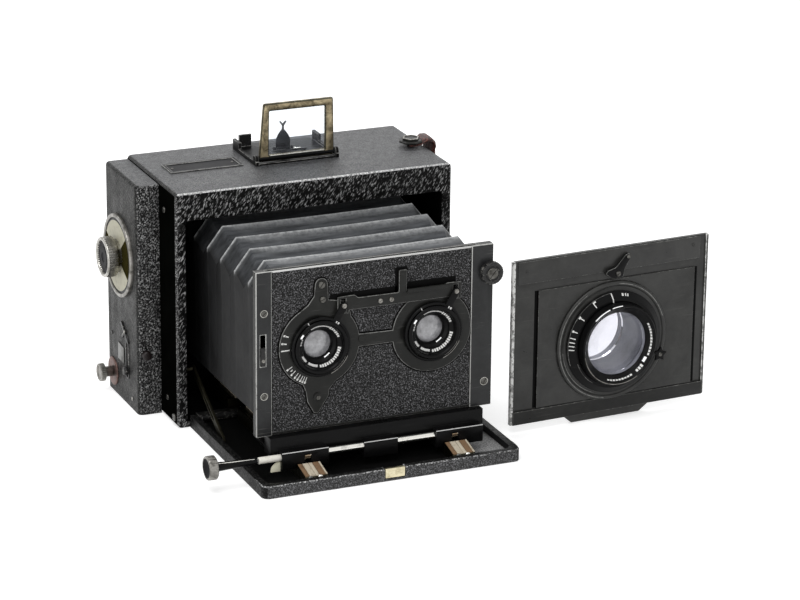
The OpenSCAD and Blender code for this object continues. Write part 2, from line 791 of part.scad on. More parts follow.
module carriage_base() {
    plate_z = [rack_z + 1.3, rack_z + 3.3];
    y1 = std_rear + 20;
    color("black") difference() {
        union() {
            block([-58, 58], [block_y[1], y1], plate_z);
            block([-60, 60], [block_y[1], std_rear], [plate_z[0], std_z]);
            for (s = [-1, 1], side = [-1, 1])
                block([s * rail_x + side * 4.2 - 1.9, s * rail_x + side * 4.2 + 1.9], [block_y[1], y1],
                    [rail_z + slip, plate_z[0] + eps]);
            for (b = block_x) block(b, [block_y[0], block_y[1] + eps], block_z);
            block([-10, 9], [block_y[0] + 0.6, block_y[1] + eps], [block_z[0], block_z[1] - 0.6]);
        }
        rod_x(shaft_r + run, -70, 56.8, shaft_y, shaft_z);
        for (s = [-1, 1]) {
            block([s * rail_x - rail_w / 2 - clear, s * rail_x + rail_w / 2 + clear],
                [block_y[0] - 1, block_y[1] + 2 * eps], [0, rail_z + slip]);
            block([s * rail_x - 1.9, s * rail_x + 1.9], [block_y[0] - 1, y1 + 1], [rail_z, rack_z + 0.9]);
            rod_x(pinion_r + 0.75, s * rail_x - pinion_w / 2 - 0.3, s * rail_x + pinion_w / 2 + 0.3,
                shaft_y, shaft_z);
        }
    }
}

module standard_frame() {
    hw = std_w / 2;
    color("black") difference() {
        union() {
            block([-hw, hw], [back_plate_y, std_rear], [std_z, std_top]);
            block([-hw, board_left - slip], [strip_y, back_plate_y + eps], [std_z, std_top]);
            block([board_right + slip, hw], [strip_y, back_plate_y + eps], [std_z, std_top]);
            block([-hw, hw], [board_y, back_plate_y + eps], [std_z, board_z - slip]);
        }
        block([-52, 52], [back_plate_y - 1, std_rear + 1], [std_z + 8, std_top - 8]);
        rod_y(lock_stem_r + run, strip_y - 1, std_rear + 1, lock_x, lock_z);
        block([latch_x - 2.4, latch_x + 0.5], [strip_y - 1, strip_y + 1.3], latch_slot);
    }
}

lock_x = 64.1 * std_w / 132.4;
lock_z = 98;
lock_stem_r = 1.2;
latch_x = -std_w / 2 + strip_l / 2 + 0.4;
latch_slot = [62, 79];

module rail_strips() {
    hw = std_w / 2;
    color("black") difference() {
        union() {
            block([-hw, -hw + strip_l], [std_y, strip_y], [std_z, std_top]);
            block([hw - strip_r, hw], [std_y, strip_y], [std_z, std_top]);
        }
        block([latch_x - 2.4, latch_x + 0.5], [std_y - 1, strip_y + 1], latch_slot);
        rod_y(lock_stem_r + run, std_y - 1, strip_y + 1, lock_x, lock_z);
    }
}

module standard_screws() {
    color("silver") for (p = [[latch_x - 0.4, 90.6], [latch_x - 0.4, 45.5], [lock_x - 2, 37]])
        rod_y(1.7, std_y - 0.6, std_y, p[0], p[1]);
}

module distance_pointer() {
    color("ivory") plate_y(shaft_y - 0.4, shaft_y + 1) intersection() {
        translate([block_x[0][0], block_z[0] - 1.2]) circle(r = 5.2);
        translate([block_x[0][0] - 7, block_z[0] - 1.2]) square([7, 7]);
    }
}

module focus_shaft() {
    color("silver") {
        rod_x(1.5, knob_x + 5, -68.9, shaft_y, shaft_z);
        difference() {
            rod_x(shaft_r, -69, block_x[1][1] - 1.2, shaft_y, shaft_z);
            for (x = [-rail_x, rail_x])
                rod_x(shaft_r + 1, x - pinion_w / 2, x + pinion_w / 2, shaft_y, shaft_z);
        }
        rod_x(pinion_bore, -rail_x - 4, rail_x + 4, shaft_y, shaft_z);
    }
}

module focus_pinions() {
    color("goldenrod") for (x = [-rail_x, rail_x])
        translate([x - pinion_w / 2, shaft_y, shaft_z]) rotate([90, 0, 90]) linear_extrude(pinion_w)
            difference() {
                rotate(-90) gear_2d(pinion_n, rack_m);
                circle(r = pinion_bore);
            }
}

pinion_bore = 1.2;

module focus_knob() {
    color("silver") difference() {
        union() {
            rod_x(focus_knob_d / 2, knob_x, knob_x + 5, shaft_y, shaft_z);
            rod_x(3.4, knob_x + 5 - eps, knob_x + 8.5, shaft_y, shaft_z);
        }
        rod_x(1.5, knob_x + 5, knob_x + 9, shaft_y, shaft_z);
        rod_x(2, knob_x - 1, knob_x + 0.8, shaft_y, shaft_z);
    }
}

module lock_knob() {
    color("silver") difference() {
        union() {
            rod_y(6.2, std_y - 5, std_y - 1.2, lock_x, lock_z);
            rod_y(3.6, std_y - 1.2 - eps, std_y - slip, lock_x, lock_z);
            rod_y(lock_stem_r, std_y - slip - eps, std_rear - 0.2, lock_x, lock_z);
        }
        block([lock_x - 7, lock_x + 7], [std_y - 6, std_y - 4], [lock_z - 0.6, lock_z + 0.6]);
    }
}

module rail_latch() {
    color("darkslategray") block([latch_x - 2.2, latch_x + 0.3], [std_y - 0.6, strip_y + 1.1],
        [latch_slot[0] + 0.2, latch_slot[0] + 10]);
}

// Lens board

lens_xs = [-lens_gap / 2, lens_gap / 2];
seat_r = barrel_r - 2;
iris_y = [ring_y - 2.8, ring_y - 0.15];
link_y = [ring_y - 1.5, ring_y - 0.3];
arm_y = [ring_y - 2.8, ring_y - 1.8];
pin_angle = 59;
pin_dx = link_arm * cos(pin_angle);
pin_dz = link_arm * sin(pin_angle);

module lens_board() {
    color("black") difference() {
        block([board_left, board_right], [board_y, board_y + board_t], [board_z, board_top]);
        for (x = lens_xs) rod_y(seat_r + run, board_y - 1, board_y + board_t + 1, x, lens_z);
    }
}

module board_leather() {
    hw = std_w / 2;
    color("dimgray") difference() {
        block([-hw + strip_l + 0.4, hw - strip_r - 0.4], [leather_y, board_y], [board_z, board_top]);
        for (x = lens_xs) rod_y(seat_r + run, leather_y - 1, board_y + 1, x, lens_z);
    }
}

// outline of the pressed plate that carries both lenses
module ring_outline() {
    xl = lens_xs[0];
    xr = lens_xs[1];
    r = ring_d / 2;
    for (x = lens_xs) translate([x, lens_z]) circle(r = r);
    translate([xl, lens_z - 3.5]) square([xr - xl, 6.5]);
    polygon([[xl + 8, lens_z + 20], [xl + 12, lens_z + 23.6], [xl + 33, lens_z + 24.6],
        [xr - 16, lens_z + 24.6], [xr - 8, lens_z + 20], [xr - 17, lens_z + 14.5], [xr - 20, lens_z + 18.4],
        [xl + 22, lens_z + 18], [xl + 17, lens_z + 14]]);
    bar_2d([xl - 1.5, lens_z + 20], [xl + 1, lens_z + 33], 3.6);
    translate([xl - 1, lens_z - ring_d / 2 - 5]) circle(r = 6.4);
    polygon([[xl - 7, lens_z - ring_d / 2 - 5], [xl - 2.6, lens_z - ring_d / 2 - 14.5],
        [xl - 0.6, lens_z - ring_d / 2 - 14.5], [xl + 5, lens_z - ring_d / 2 - 5]]);
    polygon([[xl - 9, lens_z - 20], [xl - 5, lens_z - ring_d / 2 - 6], [xl + 3, lens_z - ring_d / 2 - 6],
        [xl + 7, lens_z - 20]]);
}

module ring_plate() {
    color("black") {
        plate_y(ring_y, leather_y) difference() {
            ring_outline();
            for (x = lens_xs) translate([x, lens_z]) circle(r = seat_r + run);
        }
        for (p = [[lens_xs[0] + 1, 28.6], [lens_xs[0] - 1, -28]])
            rod_y(1.8, ring_y - 1, ring_y, p[0], lens_z + p[1]);
    }
}

// section of a barrel as radius against depth in front of the ring plate
module barrel_section() {
    depth = leather_y - ring_y;
    polygon([[glass_r + 0.6, -4.4], [seat_r, -4.4], [seat_r, 0], [barrel_r, 0], [barrel_r, 2.95],
        [barrel_r + 0.4, 2.95], [barrel_r + 0.4, 3.7], [barrel_r - 0.4, 4.2], [barrel_r - 1.9, 4.2], [glass_r, -1.6], [glass_r, -4.4]]);
}

// turns a section about a lens axis, with its height pointing forwards
module about_lens(x, y, z) {
    translate([x, y, z]) rotate([90, 0, 0]) rotate_extrude() children();
}

module lens_barrels() {
    color("black") for (x = lens_xs) about_lens(x, ring_y, lens_z) barrel_section();
}

// height of a lens face of radius c, t thick in the middle, at the distance d from the axis
function lens_face(d, t, c) = t / 2 - c + sqrt(c * c - d * d);

// round lens of radius r, centred at depth y
module lens_solid(x, y, z, r, t, c) {
    steps = 8;
    about_lens(x, y, z) polygon(concat(
        [for (i = [0:steps]) [r * i / steps, lens_face(r * i / steps, t, c)]],
        [for (i = [steps:-1:0]) [r * i / steps, -lens_face(r * i / steps, t, c)]]));
}

module lens_glasses() {
    color("lightsteelblue") for (x = lens_xs)
        lens_solid(x, ring_y + 3, lens_z, glass_r, 4, 20);
}

module rear_cells() {
    depth = board_y + board_t - ring_y;
    color("black") for (x = lens_xs) about_lens(x, ring_y, lens_z)
        polygon([[glass_r + 1, -4.4 - 7], [seat_r - 1.6, -4.4 - 7], [seat_r - 1.6, -4.4],
            [glass_r + 0.6, -4.4]]);
}

// ring round a barrel with the arm that carries its link pin
module iris_ring(x) {
    difference() {
        union() {
            rod_y(barrel_r + 2, iris_y[0], iris_y[1], x, lens_z);
            plate_y(arm_y[0], arm_y[1]) {
                bar_2d([x + pin_dx * 0.62, lens_z + pin_dz * 0.62], [x + pin_dx, lens_z + pin_dz], 2);
            }
            rod_y(1, arm_y[0], link_y[0] + 1.1, x + pin_dx, lens_z + pin_dz);
        }
        rod_y(barrel_r + run, iris_y[0] - 1, iris_y[1] + 1, x, lens_z);
    }
}

module iris_ring_left() {
    color("black") iris_ring(lens_xs[0]);
}

module iris_ring_right() {
    color("black") iris_ring(lens_xs[1]);
}

module iris_link() {
    z = lens_z + pin_dz;
    x0 = lens_xs[0] + pin_dx;
    x1 = lens_xs[1] + pin_dx;
    color("black") {
        plate_y(link_y[0], link_y[1]) difference() {
            union() {
                bar_2d([x0, z], [x1, z], 3);
                for (x = [x0, x1]) translate([x - 3.2, z - 4.6]) square([6.4, 9.2]);
                translate([x0, z - 3]) square([7, 8]);
                translate([x1 - 7, z - 3]) square([7, 8]);
                translate([x0 + 31, z]) square([4.4, 15]);
            }
            for (x = [x0, x1]) translate([x - 1.4, z - 3.8]) square([2.8, 7.2]);
        }
        for (x = [1.6, 7.8]) rod_y(1.3, link_y[0] - 0.6, link_y[0] + eps, x, z - 0.2);
        block([x0 + 35.6, x1 - 5], [link_y[0] - 1.1, link_y[0] + eps], [z + 2.4, z + 4.6]);
    }
}

// Second lens panel, in its own upright frame with its foot at the origin

module panel_place() {
    translate([panel_x, ahead(panel_front), 0]) rotate([0, 0, panel_turn]) children();
}

panel_t = 2;
panel_lens_x = 0.7;
panel_field = [-46.4, 53.6];
panel_field_z = [12.4, 79];
groove_w = 2;

module panel_plate() {
    hw = panel_w / 2;
    color("black") panel_place() difference() {
        union() {
            block([-hw, hw], [0, panel_t], [foot_h, panel_h + foot_h]);
            block([-hw, hw], [-1.4, eps], [foot_h, panel_field_z[0] - 0.4]);
            block([-hw + 2, hw - 4], [-0.7, eps], [panel_field_z[1] + 4.6, panel_h + foot_h - 0.6]);
            block([panel_field[0] + groove_w, panel_field[1] - groove_w], [-1, eps], panel_field_z);
            block([-hw - 1.2, -hw + 0.4], [-0.8, panel_t], [foot_h, panel_h + foot_h]);
            block([hw - 0.4, hw + 1.2], [-0.8, panel_t], [foot_h, panel_h + foot_h]);
            plate_y(0, panel_t) polygon([[-27, foot_h + 1], [-27, foot_h], [-22, 0], [20, 0], [26, foot_h],
                [26, foot_h + 1]]);
        }
        for (x = [panel_field[0], panel_field[1] - groove_w])
            block([x, x + groove_w], [-0.1, 0.9], panel_field_z);
        rod_y(panel_bore_r + run, -3, panel_t + 1, panel_lens_x, panel_lens_z);
        rod_y(flange_r + slip, -3, flange_y, panel_lens_x, panel_lens_z);
        rod_y(1 + run, -3, panel_t + 1, lever_at[0], lever_at[1]);
    }
}

lever_at = [panel_lens_x + 2.2, panel_lens_z + flange_r + 4.4];
panel_bore_r = panel_barrel_r - 2.4;
panel_tube_l = 25;
panel_ring_w = 6;
flange_y = -1;

module panel_flange() {
    color("black") panel_place() about_lens(panel_lens_x, flange_y, panel_lens_z)
        polygon([[panel_bore_r + run, 0], [flange_r, 0], [flange_r, 0.8], [flange_r - 0.8, 1.4],
            [flange_r - 2.2, 1.4], [flange_r - 2.6, 0.8], [flange_r - 4, 0.8], [panel_barrel_r + 2, 2],
            [panel_bore_r + run, 2]]);
}

module panel_barrel() {
    g = panel_glass_r;
    color("black") panel_place() about_lens(panel_lens_x, flange_y - 2, panel_lens_z)
        polygon([[panel_bore_r - 3.2, -panel_tube_l], [panel_bore_r, -panel_tube_l], [panel_bore_r, 0],
            [panel_barrel_r, 0], [panel_barrel_r, 3.75], [panel_barrel_r + 0.5, 3.75],
            [panel_barrel_r + 0.5, 4.8], [panel_barrel_r - 1.6, 7.6], [g + 1.8, 8.2],
            [g + 0.4, 6.6], [g, 4.6], [g, 0], [panel_bore_r - 3.2, -1]]);
}

module panel_iris_ring() {
    color("dimgray") panel_place() difference() {
        union() {
            rod_y(panel_barrel_r + panel_ring_w, flange_y - 5.6, flange_y - 2.15,
                panel_lens_x, panel_lens_z);
            rod_y(2.4, flange_y - 8.2, flange_y - 5.6 + eps, panel_lens_x + 26.3, panel_lens_z - 9.6);
        }
        rod_y(panel_barrel_r + run, flange_y - 10, flange_y - 1, panel_lens_x, panel_lens_z);
    }
}

module panel_glass() {
    color("lightsteelblue") panel_place() {
        lens_solid(panel_lens_x, flange_y - 4.6, panel_lens_z, panel_glass_r, 5.4, 75);
        lens_solid(panel_lens_x, flange_y - 6.8 + panel_tube_l, panel_lens_z, panel_bore_r - 3.2, 5, 90);
    }
}

module panel_lever() {
    color("black") panel_place() {
        plate_y(-2.6, -1.1) difference() {
            union() {
                translate(lever_at) circle(r = 3.6);
                bar_2d(lever_at, lever_at + [6, 9.6], 2.1);
                bar_2d(lever_at, lever_at + [-6.4, 1], 1.7);
            }
        }
        rod_y(1, -1.2, panel_t, lever_at[0], lever_at[1]);
        rod_y(1.7, -3.2, -2.6 + eps, lever_at[0], lever_at[1]);
        rod_y(1.1, -3.6, -2.6 + eps, lever_at[0] + 6, lever_at[1] + 9.6);
    }
}

// Finder

module finder_base() {
    hw = finder_w / 2;
    y0 = behind(31.4);
    y1 = behind(70);
    color("darkslategray") difference() {
        union() {
            block([finder_x - hw, finder_x + hw], [y0 + 0.6, y1], [body_h, body_h + 1.1]);
            for (s = [-1, 1]) {
                x = finder_x + s * (hw + 1.3);
                block([x - 0.9, x + 0.9], [y0, y1 - 3], [body_h, body_h + 2.4]);
                block([x - 0.9, x + 0.9], [finder_y - 2.2, finder_y + 2.2], [body_h, finder_pin_z]);
                rod_x(2.2, x - 0.9, x + 0.9, finder_y, finder_pin_z);
                block([x - 0.9, x + 0.9], [y1 - 12, y1 - 3], [body_h, body_h + 6]);
                block([min(x, x - s * 2), max(x, x - s * 2)], [y0 + 1, y1 - 3], [body_h, body_h + 1.1]);
            }
            block([finder_x - hw + 1.2, finder_x - hw + 8.4], [y1 - 4, y1 - 2.8], [body_h + 1, body_h + 7.8]);
            for (s = [-1, 1]) {
                x = finder_x + s * 4.9;
                rod_x(1, x - 0.8, x + 0.8, sight_y, sight_pin_z);
                block([x - 0.8, x + 0.8], [sight_y - 1, sight_y + 1], [body_h + 1, sight_pin_z]);
            }
        }
        rod_x(finder_pin_r + run, finder_x - 40, finder_x + 40, finder_y, finder_pin_z);
        rod_x(sight_pin_r + run, finder_x - 8, finder_x + 8, sight_y, sight_pin_z);
    }
}

finder_glass = [[-16, 16.4], [5, 29.4]];

module finder_frame() {
    hw = finder_w / 2 - 0.15;
    low = body_h + 1.5;
    color("goldenrod") difference() {
        union() {
            plate_y(finder_y - finder_t / 2, finder_y + finder_t / 2) translate([finder_x, 0])
                polygon([[-hw, low], [-hw + 2.8, body_h + finder_h - 1], [-hw + 4, body_h + finder_h],
                    [hw - 1.6, body_h + finder_h], [hw - 0.4, body_h + finder_h - 1], [hw, low]]);
            rod_x(finder_knuckle_r, finder_x - hw, finder_x + hw, finder_y, finder_pin_z);
        }
        block([finder_x + finder_glass[0][0], finder_x + finder_glass[0][1]],
            [finder_y - 3, finder_y + 3], [body_h + finder_glass[1][0], body_h + finder_glass[1][1]]);
        rod_x(finder_pin_r + run, finder_x - 40, finder_x + 40, finder_y, finder_pin_z);
        block([finder_x - hw - 1, finder_x + hw + 1], [finder_y - 5, finder_y + 5], [0, low]);
    }
}

module finder_lens() {
    color("lightsteelblue") block([finder_x + finder_glass[0][0], finder_x + finder_glass[0][1]],
        [finder_y - 0.6, finder_y + 0.6], [body_h + finder_glass[1][0], body_h + finder_glass[1][1]]);
}

module rear_sight() {
    color("silver") difference() {
        union() {
            rod_x(sight_knuckle_r, finder_x - 3.9, finder_x + 3.9, sight_y, sight_pin_z);
            plate_y(sight_y - 0.5, sight_y + 0.5) translate([finder_x, 0]) {
                polygon([[-3.9, sight_pin_z], [-1, body_h + 11], [-0.5, body_h + 14.4], [-1.9, body_h + 17],
                    [-1.2, body_h + 17.4], [0, body_h + 15.2], [1.2, body_h + 17.4], [1.9, body_h + 17],
                    [0.5, body_h + 14.4], [1, body_h + 11], [3.9, sight_pin_z]]);
            }
        }
        rod_x(sight_pin_r + run, finder_x - 8, finder_x + 8, sight_y, sight_pin_z);
    }
}

body_shell();
mechanism_box();
name_plate();
tripod_socket();
bed_tray();
bed_hinge();
hinge_pins();
slide_rails();
bed_struts();
bellows();
bellows_frame();
shutter_curtain();
disc_ring();
tension_plate();
finder_base();
strap_stud();
carry_strap();
back_frame();
ground_glass();
case_screws();
winding_knob();
winding_dial();
winding_gear();
upper_roller();
roller_gear();
lower_roller();
tension_knob();
release_button();
time_lever();
finder_frame();
finder_lens();
rear_sight();
hood_cover();
back_catch();
bed_catch();
carriage_base();
standard_frame();
rail_strips();
standard_screws();
distance_pointer();
focus_shaft();
focus_pinions();
focus_knob();
lock_knob();
rail_latch();
lens_board();
board_leather();
ring_plate();
lens_barrels();
lens_glasses();
rear_cells();
iris_ring_left();
iris_ring_right();
iris_link();
panel_plate();
panel_flange();
panel_barrel();
panel_iris_ring();
panel_glass();
panel_lever();
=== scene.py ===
"""The looks of the folding stereo camera and its second lens panel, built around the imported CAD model."""

import math

import bmesh
import bpy
from mathutils import Matrix, Vector


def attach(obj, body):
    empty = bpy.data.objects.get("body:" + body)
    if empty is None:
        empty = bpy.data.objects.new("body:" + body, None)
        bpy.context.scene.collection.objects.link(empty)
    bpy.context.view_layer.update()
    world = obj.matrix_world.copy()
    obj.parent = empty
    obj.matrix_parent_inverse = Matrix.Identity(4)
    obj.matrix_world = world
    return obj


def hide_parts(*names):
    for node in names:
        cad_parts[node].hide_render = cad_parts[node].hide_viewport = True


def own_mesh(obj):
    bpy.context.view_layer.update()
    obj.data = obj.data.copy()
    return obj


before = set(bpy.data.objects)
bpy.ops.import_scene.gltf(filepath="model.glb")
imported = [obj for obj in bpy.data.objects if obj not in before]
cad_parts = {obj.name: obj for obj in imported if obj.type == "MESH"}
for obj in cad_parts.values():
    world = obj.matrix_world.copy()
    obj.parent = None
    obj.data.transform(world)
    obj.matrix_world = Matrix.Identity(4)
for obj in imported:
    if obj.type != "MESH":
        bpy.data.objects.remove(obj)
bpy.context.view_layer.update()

# Sizes in millimetres, in the frame of the CAD model
BODY_W = 158.6
BODY_H = 131.4
FRONT_Y = -38.8
BACK_Y = 38.8
SIDE_X = BODY_W / 2
MECH_X = -SIDE_X - 13.0
MECH_FRONT = BACK_Y - 52.0
STD_Y = FRONT_Y - 83.9
BOARD_Y = STD_Y + 1.1
LEATHER_Y = BOARD_Y - 0.8
RING_Y = LEATHER_Y - 0.8
STD_REAR = BOARD_Y + 3.7
SHAFT_Y = STD_Y - 7.6
SHAFT_Z = 13.9
LENS_X = (-31.5, 31.5)
LENS_Z = 69.5
PIN_DX = 24.4 * math.cos(math.radians(59))
PIN_DZ = 24.4 * math.sin(math.radians(59))
WIND_Y = FRONT_Y + 54.3
WIND_Z = 82.8
TENSION_Y = FRONT_Y + 68.0
TENSION_Z = 11.5
BED_L = 110.4
BED_W = 144.8
RAIL_X = 41.5
STUD_X = 71.3
STUD_Y = FRONT_Y + 37.5
FINDER_X = 2.2
FINDER_Y = FRONT_Y + 34.0
FINDER_Z = BODY_H + 3.4
SIGHT_Y = FRONT_Y + 53.5
PANEL = Matrix.Translation((0.1428, (FRONT_Y - 69.2) / 1000, 0)) @ Matrix.Rotation(math.radians(3.1), 4, "Z")
PANEL_LENS = (0.7, 44.5)
PANEL_HALF = 58.7
PANEL_LOW = 4.4
PANEL_TOP = 96.7
FLANGE_Y = -1.0


def ahead(d):
    return FRONT_Y - d


def behind(d):
    return FRONT_Y + d


# Material building

M = {}


def grey(v):
    return (v, v, v)


def scaled(colour, by):
    return tuple(min(1.0, c * by) for c in colour)


class Nodes:
    """The node tree of a material or world, with a short call for each kind of node in use."""

    def __init__(self, owner):
        owner.use_nodes = True
        self.owner = owner
        self.tree = owner.node_tree
        self.shader = self.tree.nodes.get("Principled BSDF")

    def feed(self, value, socket):
        """Links an output to a socket, or sets the socket to a number or colour."""
        if isinstance(value, bpy.types.NodeSocket):
            self.tree.links.new(value, socket)
        elif isinstance(value, tuple) and len(value) == 3:
            socket.default_value = value + (1,)
        else:
            socket.default_value = value

    def add(self, kind, **values):
        """A node with its sockets and settings given by name."""
        n = self.tree.nodes.new(kind)
        for key, value in values.items():
            if key in n.inputs.keys():
                self.feed(value, n.inputs[key])
            else:
                setattr(n, key, value)
        return n

    def place(self, scale=(1, 1, 1), turn=(0, 0, 0), kind="POINT"):
        """The position on the object, stretched and turned."""
        source = self.add("ShaderNodeTexCoord").outputs["Object"]
        mapping = self.add("ShaderNodeMapping", vector_type=kind, Vector=source)
        mapping.inputs["Scale"].default_value = scale
        mapping.inputs["Rotation"].default_value = turn
        return mapping.outputs["Vector"]

    def noise(self, vector, scale, detail=2.0, rough=0.5, distortion=0.0):
        n = self.add("ShaderNodeTexNoise", Vector=vector, Scale=scale, Detail=detail, Roughness=rough,
                     Distortion=distortion)
        return n.outputs["Fac"]

    def cells(self, vector, scale, smooth):
        n = self.add("ShaderNodeTexVoronoi", feature="SMOOTH_F1", Vector=vector, Scale=scale,
                     Smoothness=smooth)
        return n.outputs["Distance"]

    def math(self, kind, a, b):
        n = self.add("ShaderNodeMath", operation=kind)
        self.feed(a, n.inputs[0])
        self.feed(b, n.inputs[1])
        return n.outputs["Value"]

    def times(self, a, b):
        return self.math("MULTIPLY", a, b)

    def plus(self, a, b):
        return self.math("ADD", a, b)

    def ramp(self, value, *stops):
        """A ramp with stops of (place, grey or colour)."""
        n = self.add("ShaderNodeValToRGB", Fac=value)
        for item, (at, colour) in zip(n.color_ramp.elements, stops):
            item.position = at
            item.color = (colour if isinstance(colour, tuple) else grey(colour)) + (1,)
        return n.outputs["Color"]

    def blend(self, share, a, b):
        """Colour a where share is 0 and b where it is 1."""
        n = self.add("ShaderNodeMix", data_type="RGBA", Factor=share)
        self.feed(a, n.inputs[6])
        self.feed(b, n.inputs[7])
        return n.outputs[2]

    def mix(self, share, a, b):
        """Shader a where share is 0 and b where it is 1."""
        n = self.add("ShaderNodeMixShader")
        for value, socket in zip((share, a, b), n.inputs):
            self.feed(value, socket)
        return n.outputs[0]

    def attribute(self, name):
        return self.add("ShaderNodeAttribute", attribute_name=name).outputs["Fac"]

    def seen(self):
        """1 for what the camera, a reflection or glass sees, and 0 for the light on the object."""
        rays = self.add("ShaderNodeLightPath").outputs
        direct = self.math("MAXIMUM", rays["Is Camera Ray"], rays["Is Glossy Ray"])
        return self.math("MAXIMUM", direct, rays["Is Transmission Ray"])

    def finish(self, colour, rough, spec=0.5, height=None, depth=0.0, **more):
        """Sets the shader; depth is the height of the bumps in millimetres."""
        if height:
            normal = self.add("ShaderNodeBump", Height=height, Strength=1.0, Distance=depth / 1000)
            self.feed(normal.outputs["Normal"], self.shader.inputs["Normal"])
        values = {"Base Color": colour, "Roughness": rough, "Specular IOR Level": spec, **more}
        for key, value in values.items():
            self.feed(value, self.shader.inputs[key])


def begin(name):
    look = Nodes(bpy.data.materials.new(name))
    M[name] = look.owner
    return look


def leather(name, size, depth, low, tops, cover, rough=0.36, spec=0.15, stretch=(1, 1, 1), turn=0.0,
            patchy=0.35):
    """Grained leather: pebbles of the given size in millimetres, painted darker between them as shade and
    with a painted highlight on top of them.

    cover is the height above which the painted highlight lies on the grain; a lower one leaves more of it
    highlighted."""
    look = begin(name)
    vector = look.place(stretch, (0, math.radians(turn), 0), "TEXTURE")
    hills = look.math("SUBTRACT", 1.0, look.cells(vector, 1000 / size, 0.35))
    fine = look.noise(vector, 1500 / size, 2.0, 0.55, 0.6)
    height = look.plus(look.times(hills, 0.55), look.times(fine, 0.75))
    each = look.ramp(look.noise(vector, 700 / size, 1.0), (0.38, 0.2), (0.62, 1.0))
    large = look.ramp(look.noise(look.place(), 24, 3.0, 0.6), (0.3, 1.0 - patchy), (0.7, 1.0))
    # Painted highlight on the pebbles where the grain rises above cover, and painted shade darkening the
    # hollows
    spots = look.ramp(height, (cover - 0.05, 0.0), (cover + 0.07, 1.0))
    share = look.times(look.times(spots, each), large)
    shade = look.ramp(height, (cover - 0.2, scaled(low, 0.5)), (cover + 0.05, scaled(low, 1.3)))
    gloss = look.ramp(look.noise(vector, 160 / size), (0.3, rough - 0.06), (0.7, rough + 0.08))
    look.finish(look.blend(share, shade, tops), gloss, spec, height, depth)


def enamel(name, colour, rough, worn=0.0, worn_colour=(0.45, 0.44, 0.42), grain=0.02, scuff=0.0, spec=0.35):
    """Satin black paint, with pale scuffs, and rubbed through to grey where it has worn."""
    look = begin(name)
    vector = look.place()
    broad = look.noise(vector, 70, 5.0, 0.62, 0.3)
    shade = look.blend(look.ramp(broad, (0.35, 0.0), (0.7, 1.0)), colour, scaled(colour, 2.0))
    if scuff:
        lines = look.noise(look.place((1, 1, 14)), 60, 5.0, 0.7)
        shade = look.blend(look.ramp(lines, (0.6, 0.0), (0.75, scuff)), shade, (0.2, 0.195, 0.185))
    if worn:
        patches = look.noise(vector, 330, 5.0, 0.75)
        share = look.ramp(patches, (0.66 - 0.42 * worn, 0.0), (0.74 - 0.38 * worn, 1.0))
        shade = look.blend(share, shade, worn_colour)
    gloss = look.ramp(broad, (0.3, rough - 0.05), (0.75, rough + 0.1))
    look.finish(shade, gloss, spec, look.noise(vector, 2600), grain)


def metal(name, colour, rough, tarnish=0.0, dark=(0.05, 0.04, 0.03), brushed=(1, 1, 1), grain=0.01):
    look = begin(name)
    spots = look.noise(look.place(), 210, 5.0, 0.65, 0.5)
    lines = look.noise(look.place(brushed), 900)
    stained = (0.85 - 0.2 * tarnish, min(1.0, 0.35 + tarnish))
    share = look.ramp(spots, (0.62 - 0.35 * tarnish, 0.0), stained)
    gloss = look.plus(look.times(spots, 0.22), rough - 0.08)
    look.finish(look.blend(share, colour, dark), gloss, 0.5, lines, grain, Metallic=1.0)


def paint(name, colour, rough, spots=0.12, dark=(0.25, 0.22, 0.16), spec=0.4):
    look = begin(name)
    vector = look.place()
    share = look.ramp(look.noise(vector, 350, 4.0, 0.6), (0.5, 0.0), (0.8, spots))
    look.finish(look.blend(share, colour, dark), rough, spec, look.noise(vector, 1500), 0.01)


def clear_glass(name, tint, gloss, haze):
    """Thin glass that lets light straight through and reflects more at a slant."""
    look = begin(name)
    look.tree.nodes.remove(look.shader)
    through = look.add("ShaderNodeBsdfTransparent", Color=tint).outputs[0]
    shine = look.add("ShaderNodeBsdfGlossy", Color=grey(1), Roughness=gloss).outputs[0]
    milk = look.add("ShaderNodeBsdfDiffuse", Color=(0.7, 0.72, 0.8)).outputs[0]
    slant = look.add("ShaderNodeFresnel", IOR=1.35).outputs[0]
    dust = look.ramp(look.noise(look.place(), 120, 5.0), (0.4, haze * 0.6), (0.75, haze * 1.8))
    both = look.mix(slant, look.mix(dust, through, milk), shine)
    look.feed(both, look.tree.nodes["Material Output"].inputs["Surface"])


def sheen_painted_glass(name, colour, rough):
    """A lens seen against its dark barrel: its mottled pale grey is painted sheen, the sky reflected in the
    curved glass.
    """
    look = begin(name)
    broad = look.noise(look.place(), 240, 4.0, 0.6)
    share = look.ramp(broad, (0.35, 0.0), (0.68, 1.0))
    shade = look.blend(share, scaled(colour, 0.7), scaled(colour, 1.6))
    gloss = look.ramp(broad, (0.3, rough * 0.8), (0.7, rough * 1.2))
    look.finish(shade, gloss, IOR=1.6, **{"Coat Weight": 1.0, "Coat Roughness": 0.02})


